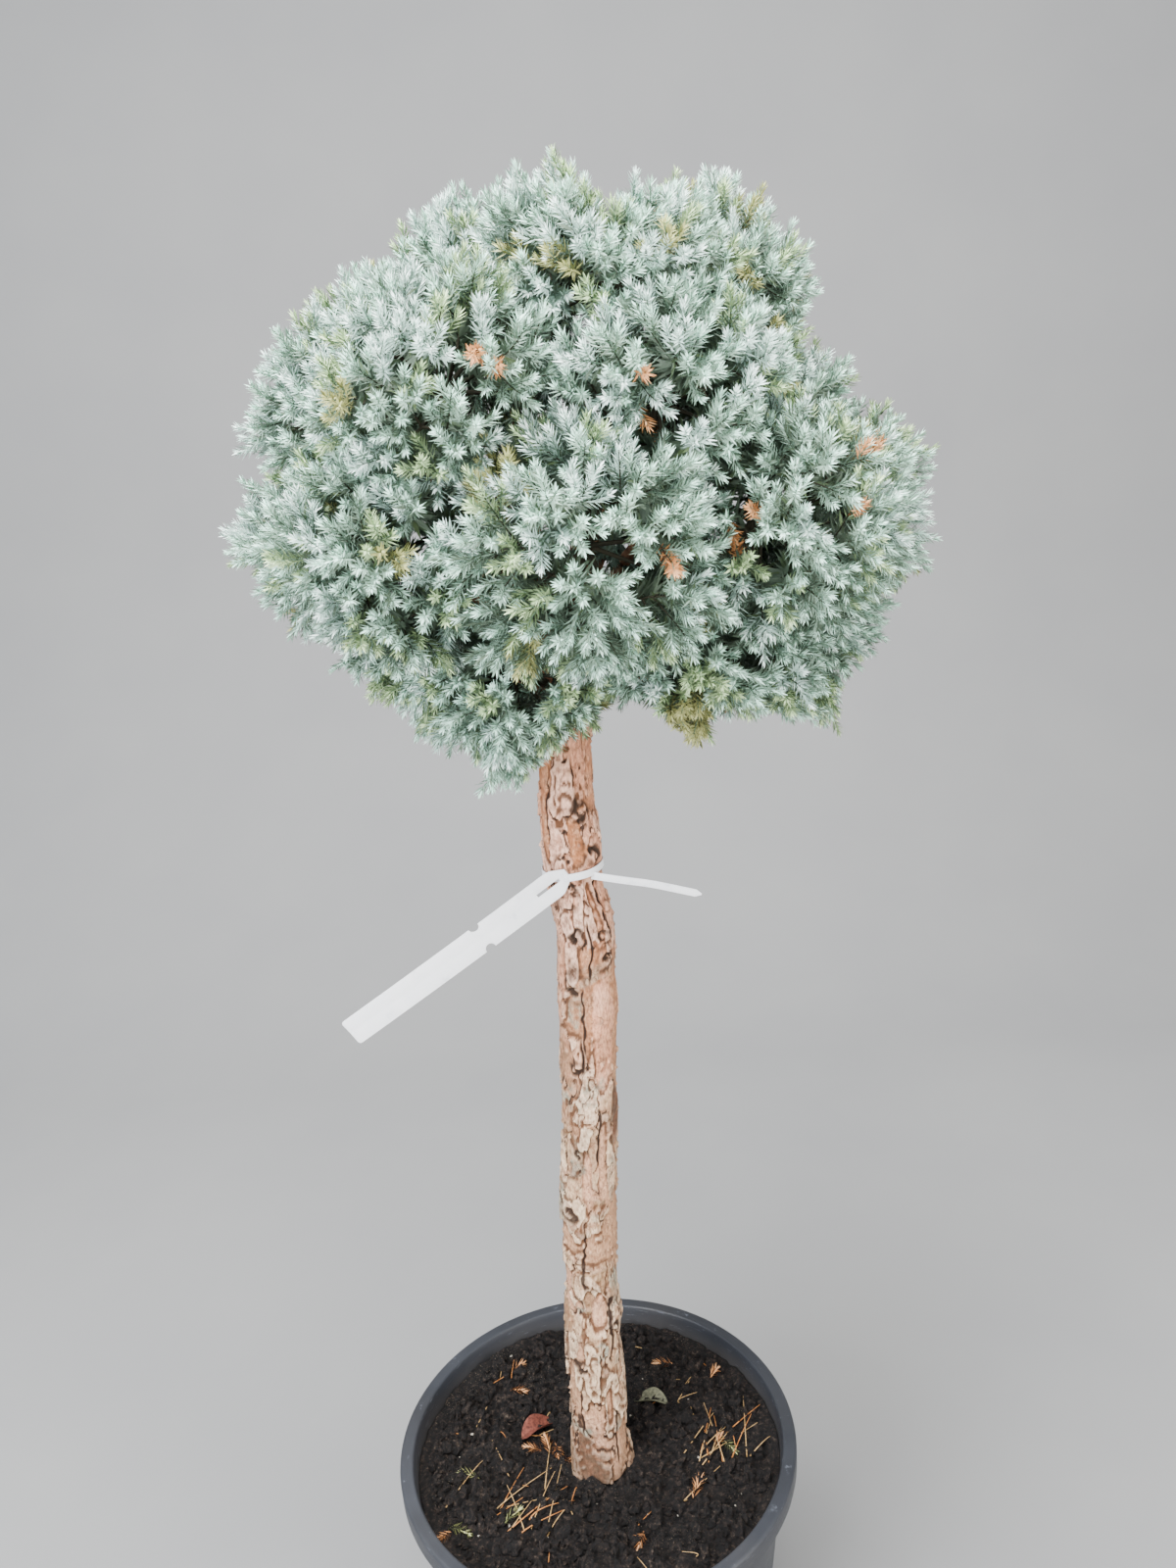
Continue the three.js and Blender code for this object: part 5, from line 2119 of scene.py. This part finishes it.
@dataclass
class Tag:
    """The blank label that is looped round the trunk."""

    level: float = 1008
    thickness: float = 0.8
    band_height: float = 7
    length: float = 246
    width: float = 27
    slope: float = 32
    swing: float = 6
    head: Point = (17, -28.6, 1010)
    neck_share: float = 0.4
    notch_radius: float = 5
    notch_from_head: float = 96
    slot_start: float = 9
    slot_end: float = 34
    slot_half: float = 1.5
    corner: float = 3.0
    bow: float = 2.2
    curl: float = 1.2
    edge_bevel: float = 0.2
    tail: tuple[Point, ...] = ((38, -22, 1004), (62, -27, 1000), (92, -28, 994), (136, -27, 980))

    def half_width(self, along: Array) -> Array:
        """Half the strip's width, with its neck and notches.

        Args:
            along: Distances from its head.

        Returns:
            Half its width at each.
        """
        half = self.width / 2
        neck = half * (self.neck_share + (1 - self.neck_share) * np.clip(along / half, 0, 1))
        notch = np.sqrt(np.clip(self.notch_radius**2 - (along - self.notch_from_head) ** 2, 0, None))
        short = np.clip(self.corner - (self.length - along), 0, self.corner)
        rounded = self.corner - np.sqrt(np.clip(self.corner**2 - short**2, 0, None))
        return neck - notch - rounded

    def strip(self, shell: Shell) -> None:
        """Adds the label's long strip, a little bowed.

        Args:
            shell: The piece to add to.
        """
        notch = self.notch_from_head + self.notch_radius * np.cos(np.linspace(math.pi, 0, 15))
        ends = self.length - self.corner * (1 - np.sin(np.linspace(0, math.pi / 2, 6)))
        plain = np.linspace(0, self.length - self.corner - 0.2, 60)
        plain = plain[np.abs(plain - self.notch_from_head) > self.notch_radius + 0.3]
        along = np.unique(np.concatenate([plain, notch, ends, [self.slot_start, self.slot_end]]))
        half = self.half_width(along)
        inner = np.full_like(along, self.slot_half)
        across = np.stack([-half, -inner, inner, half], axis=-1)
        bow = self.bow * np.sin(math.pi * along / self.length)[:, None]
        depth = -(bow + self.curl * (across / (self.width / 2)) ** 2)
        slope, swing = math.radians(self.slope), math.radians(self.swing)
        x = -along[:, None] * math.cos(slope) - across * math.sin(slope)
        z = -along[:, None] * math.sin(slope) + across * math.cos(slope)
        points = np.array(self.head) + xyz(
            x * math.cos(swing) - depth * math.sin(swing), x * math.sin(swing) + depth * math.cos(swing), z
        )
        faces = sheet_faces(len(along), 4)
        middle = (along[:-1] + along[1:]) / 2
        slotted = (middle > self.slot_start) & (middle < self.slot_end)
        keep = ~(np.repeat(slotted, 3) & np.tile([False, True, False], len(middle)))
        shell.add(points, faces[keep])

    def band(self, shell: Shell, bark: Bark) -> None:
        """Adds the band round the trunk.

        Args:
            shell: The piece to add to.
            bark: The bark that the band lies on.
        """
        turn = np.linspace(0, FULL_TURN, 97)[:-1]
        levels = self.level + np.linspace(-6, 6, 9)
        height, bearing = np.meshgrid(levels, turn, indexing="ij")
        out = Relief(bark, bearing, height).surface()
        widest = (STEM.radius(height, bearing) + out).max(axis=0)
        widest = np.max([np.roll(widest, k) for k in range(-4, 5)], axis=0)
        radius = np.mean([np.roll(widest, k) for k in range(-3, 4)], axis=0) + 0.5
        middle = STEM.middle(self.level)
        lean = 3.0 * np.cos(turn) - 1.5
        sides = np.array([-1, -0.3, 0.3, 1])[:, None] * self.band_height / 2
        points = middle + xyz(radius * np.cos(turn), radius * np.sin(turn), lean + sides)
        shell.add(points, sheet_faces(len(sides), len(turn), wraps=True))

    def loose_end(self, shell: Shell) -> None:
        """Adds the free end of the band.

        Args:
            shell: The piece to add to.
        """
        knots = np.array(self.tail)
        share = np.linspace(0, len(knots) - 1, 25)
        line = np.stack([np.interp(share, np.arange(len(knots)), knots[:, i]) for i in range(3)], axis=-1)
        for _ in range(6):
            line[1:-1] = (line[:-2] + line[1:-1] * 2 + line[2:]) / 4
        along = unit(np.gradient(line, axis=0))
        edge = unit(UP - along * along[:, 2:])
        half = self.band_height / 2 * np.sqrt(np.clip(1 - np.clip((share - 2.93) / 0.07, 0, 0.98) ** 2, 0, 1))
        points = np.stack([line - edge * half[:, None], line, line + edge * half[:, None]], axis=1)
        shell.add(points, sheet_faces(len(line), 3))

    def build(self, bark: Bark) -> None:
        """Builds the tag.

        Args:
            bark: The bark that its band lies on.
        """
        shell = Shell()
        self.strip(shell)
        self.band(shell, bark)
        self.loose_end(shell)
        piece = shell.build("blank_tag", [TagFinish().build()])
        modify(piece, "SOLIDIFY", thickness=self.thickness * MM, offset=0)
        modify(piece, "BEVEL", width=self.edge_bevel * MM, segments=2, limit_method="ANGLE")
        place(piece, Slot.TAG, "plant_tag")


@dataclass(frozen=True)
class Lamp:
    """A soft square lamp: its place and side in metres, its power in watts, and its colour."""

    name: str
    where: Point
    size: float
    power: float
    colour: int
    aim: Point = (0.04, 0, 1.1)

    def build(self) -> None:
        """Adds the lamp, turned to the crown."""
        data = bpy.data.lights.new(self.name, "AREA")
        data.size = self.size
        data.energy = self.power
        data.color = linear(self.colour)[:3]
        lamp = bpy.data.objects.new(self.name, data)
        turn = (Vector(self.aim) - Vector(self.where)).to_track_quat("-Z", "Y")
        lamp.matrix_world = Matrix.Translation(self.where) @ turn.to_matrix().to_4x4()
        bpy.context.scene.collection.objects.link(lamp)


@dataclass(frozen=True)
class Studio:
    """The camera at the photograph's angle, soft light, and a plain pale floor."""

    eye: Point = (0.041, -1.0543, 1.400)
    pitch: float = 16.72
    roll: float = 4.216
    lens: float = 28.125
    sensor: float = 36
    nearest: float = 0.02
    lamps: tuple[Lamp, ...] = (
        Lamp("overhead", (-0.2, -0.5, 3.1), 1.8, 234, 0xFFFFFF),
        Lamp("front_left", (-2.0, -2.6, 2.4), 2.0, 224, 0xF4F8FF),
        Lamp("front_right", (2.4, -1.8, 1.4), 2.0, 88, 0xFFFAF4),
        Lamp("front_low", (0.1, -2.6, 0.45), 1.6, 48, 0xFFFAF2),
    )
    sky: int = 0xE8EEF6
    sky_strength: float = 0.74

    def camera(self) -> None:
        """Adds the camera."""
        pitch, roll = math.radians(self.pitch), math.radians(self.roll)
        right = Vector((1, 0, 0))
        above = Vector((0, math.sin(pitch), math.cos(pitch)))
        back = Vector((0, -math.cos(pitch), math.sin(pitch)))
        turned_right = right * math.cos(roll) - above * math.sin(roll)
        turned_up = right * math.sin(roll) + above * math.cos(roll)
        data = bpy.data.cameras.new("view")
        data.lens = self.lens
        data.sensor_width = self.sensor
        data.clip_start = self.nearest
        camera = bpy.data.objects.new("view", data)
        axes = Matrix((turned_right, turned_up, back)).transposed().to_4x4()
        camera.matrix_world = Matrix.Translation(self.eye) @ axes
        bpy.context.scene.collection.objects.link(camera)
        bpy.context.scene.camera = camera

    def sweep(self) -> None:
        """Adds the floor, which rises into a backdrop."""
        bend = np.radians(np.linspace(0, 90, 17))
        floor = [(-4000.0, 0.0), (600.0, 0.0)]
        curve = [(1400 + 1200 * math.sin(a), 1200 - 1200 * math.cos(a)) for a in bend]
        section = np.array(floor + curve + [(2600.0, 5200.0)])
        shell = Shell()
        points = xyz(np.array([-4200.0, 4200.0]), section[:, :1], section[:, 1:])
        shell.add(points, sheet_faces(len(section), 2))
        shell.build("pale_floor", [StudioFinish().build()])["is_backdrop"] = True

    def build(self) -> None:
        """Builds the studio."""
        self.camera()
        self.sweep()
        for lamp in self.lamps:
            lamp.build()
        world = bpy.data.worlds.new("soft_sky")
        world.use_nodes = True
        background = world.node_tree.nodes["Background"]
        background.inputs["Color"].default_value = linear(self.sky)
        background.inputs["Strength"].default_value = self.sky_strength
        bpy.context.scene.world = world


def corners(box: tuple[Vector, Vector]) -> list[list[float]]:
    """A box as plain lists."""
    return [[float(value) for value in corner] for corner in box]


def main() -> None:
    """Loads the frame, builds every piece in order, and works out the sizes of the frame and of the finished
    pieces.
    """
    logging.basicConfig(level=logging.INFO, format="%(message)s")
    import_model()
    cad_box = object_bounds()
    Studio().build()
    bark = Bark()
    bark.trunk()
    crown = Crown()
    bark.boughs(crown.masses)
    crown.build()
    pot = Pot()
    pot.build()
    Soil(pot, crown).build()
    Tag().build(bark)
    bpy.context.view_layer.update()
    {"cad": corners(cad_box), "visual": corners(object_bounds())}


if __name__ == "__main__":
    main()
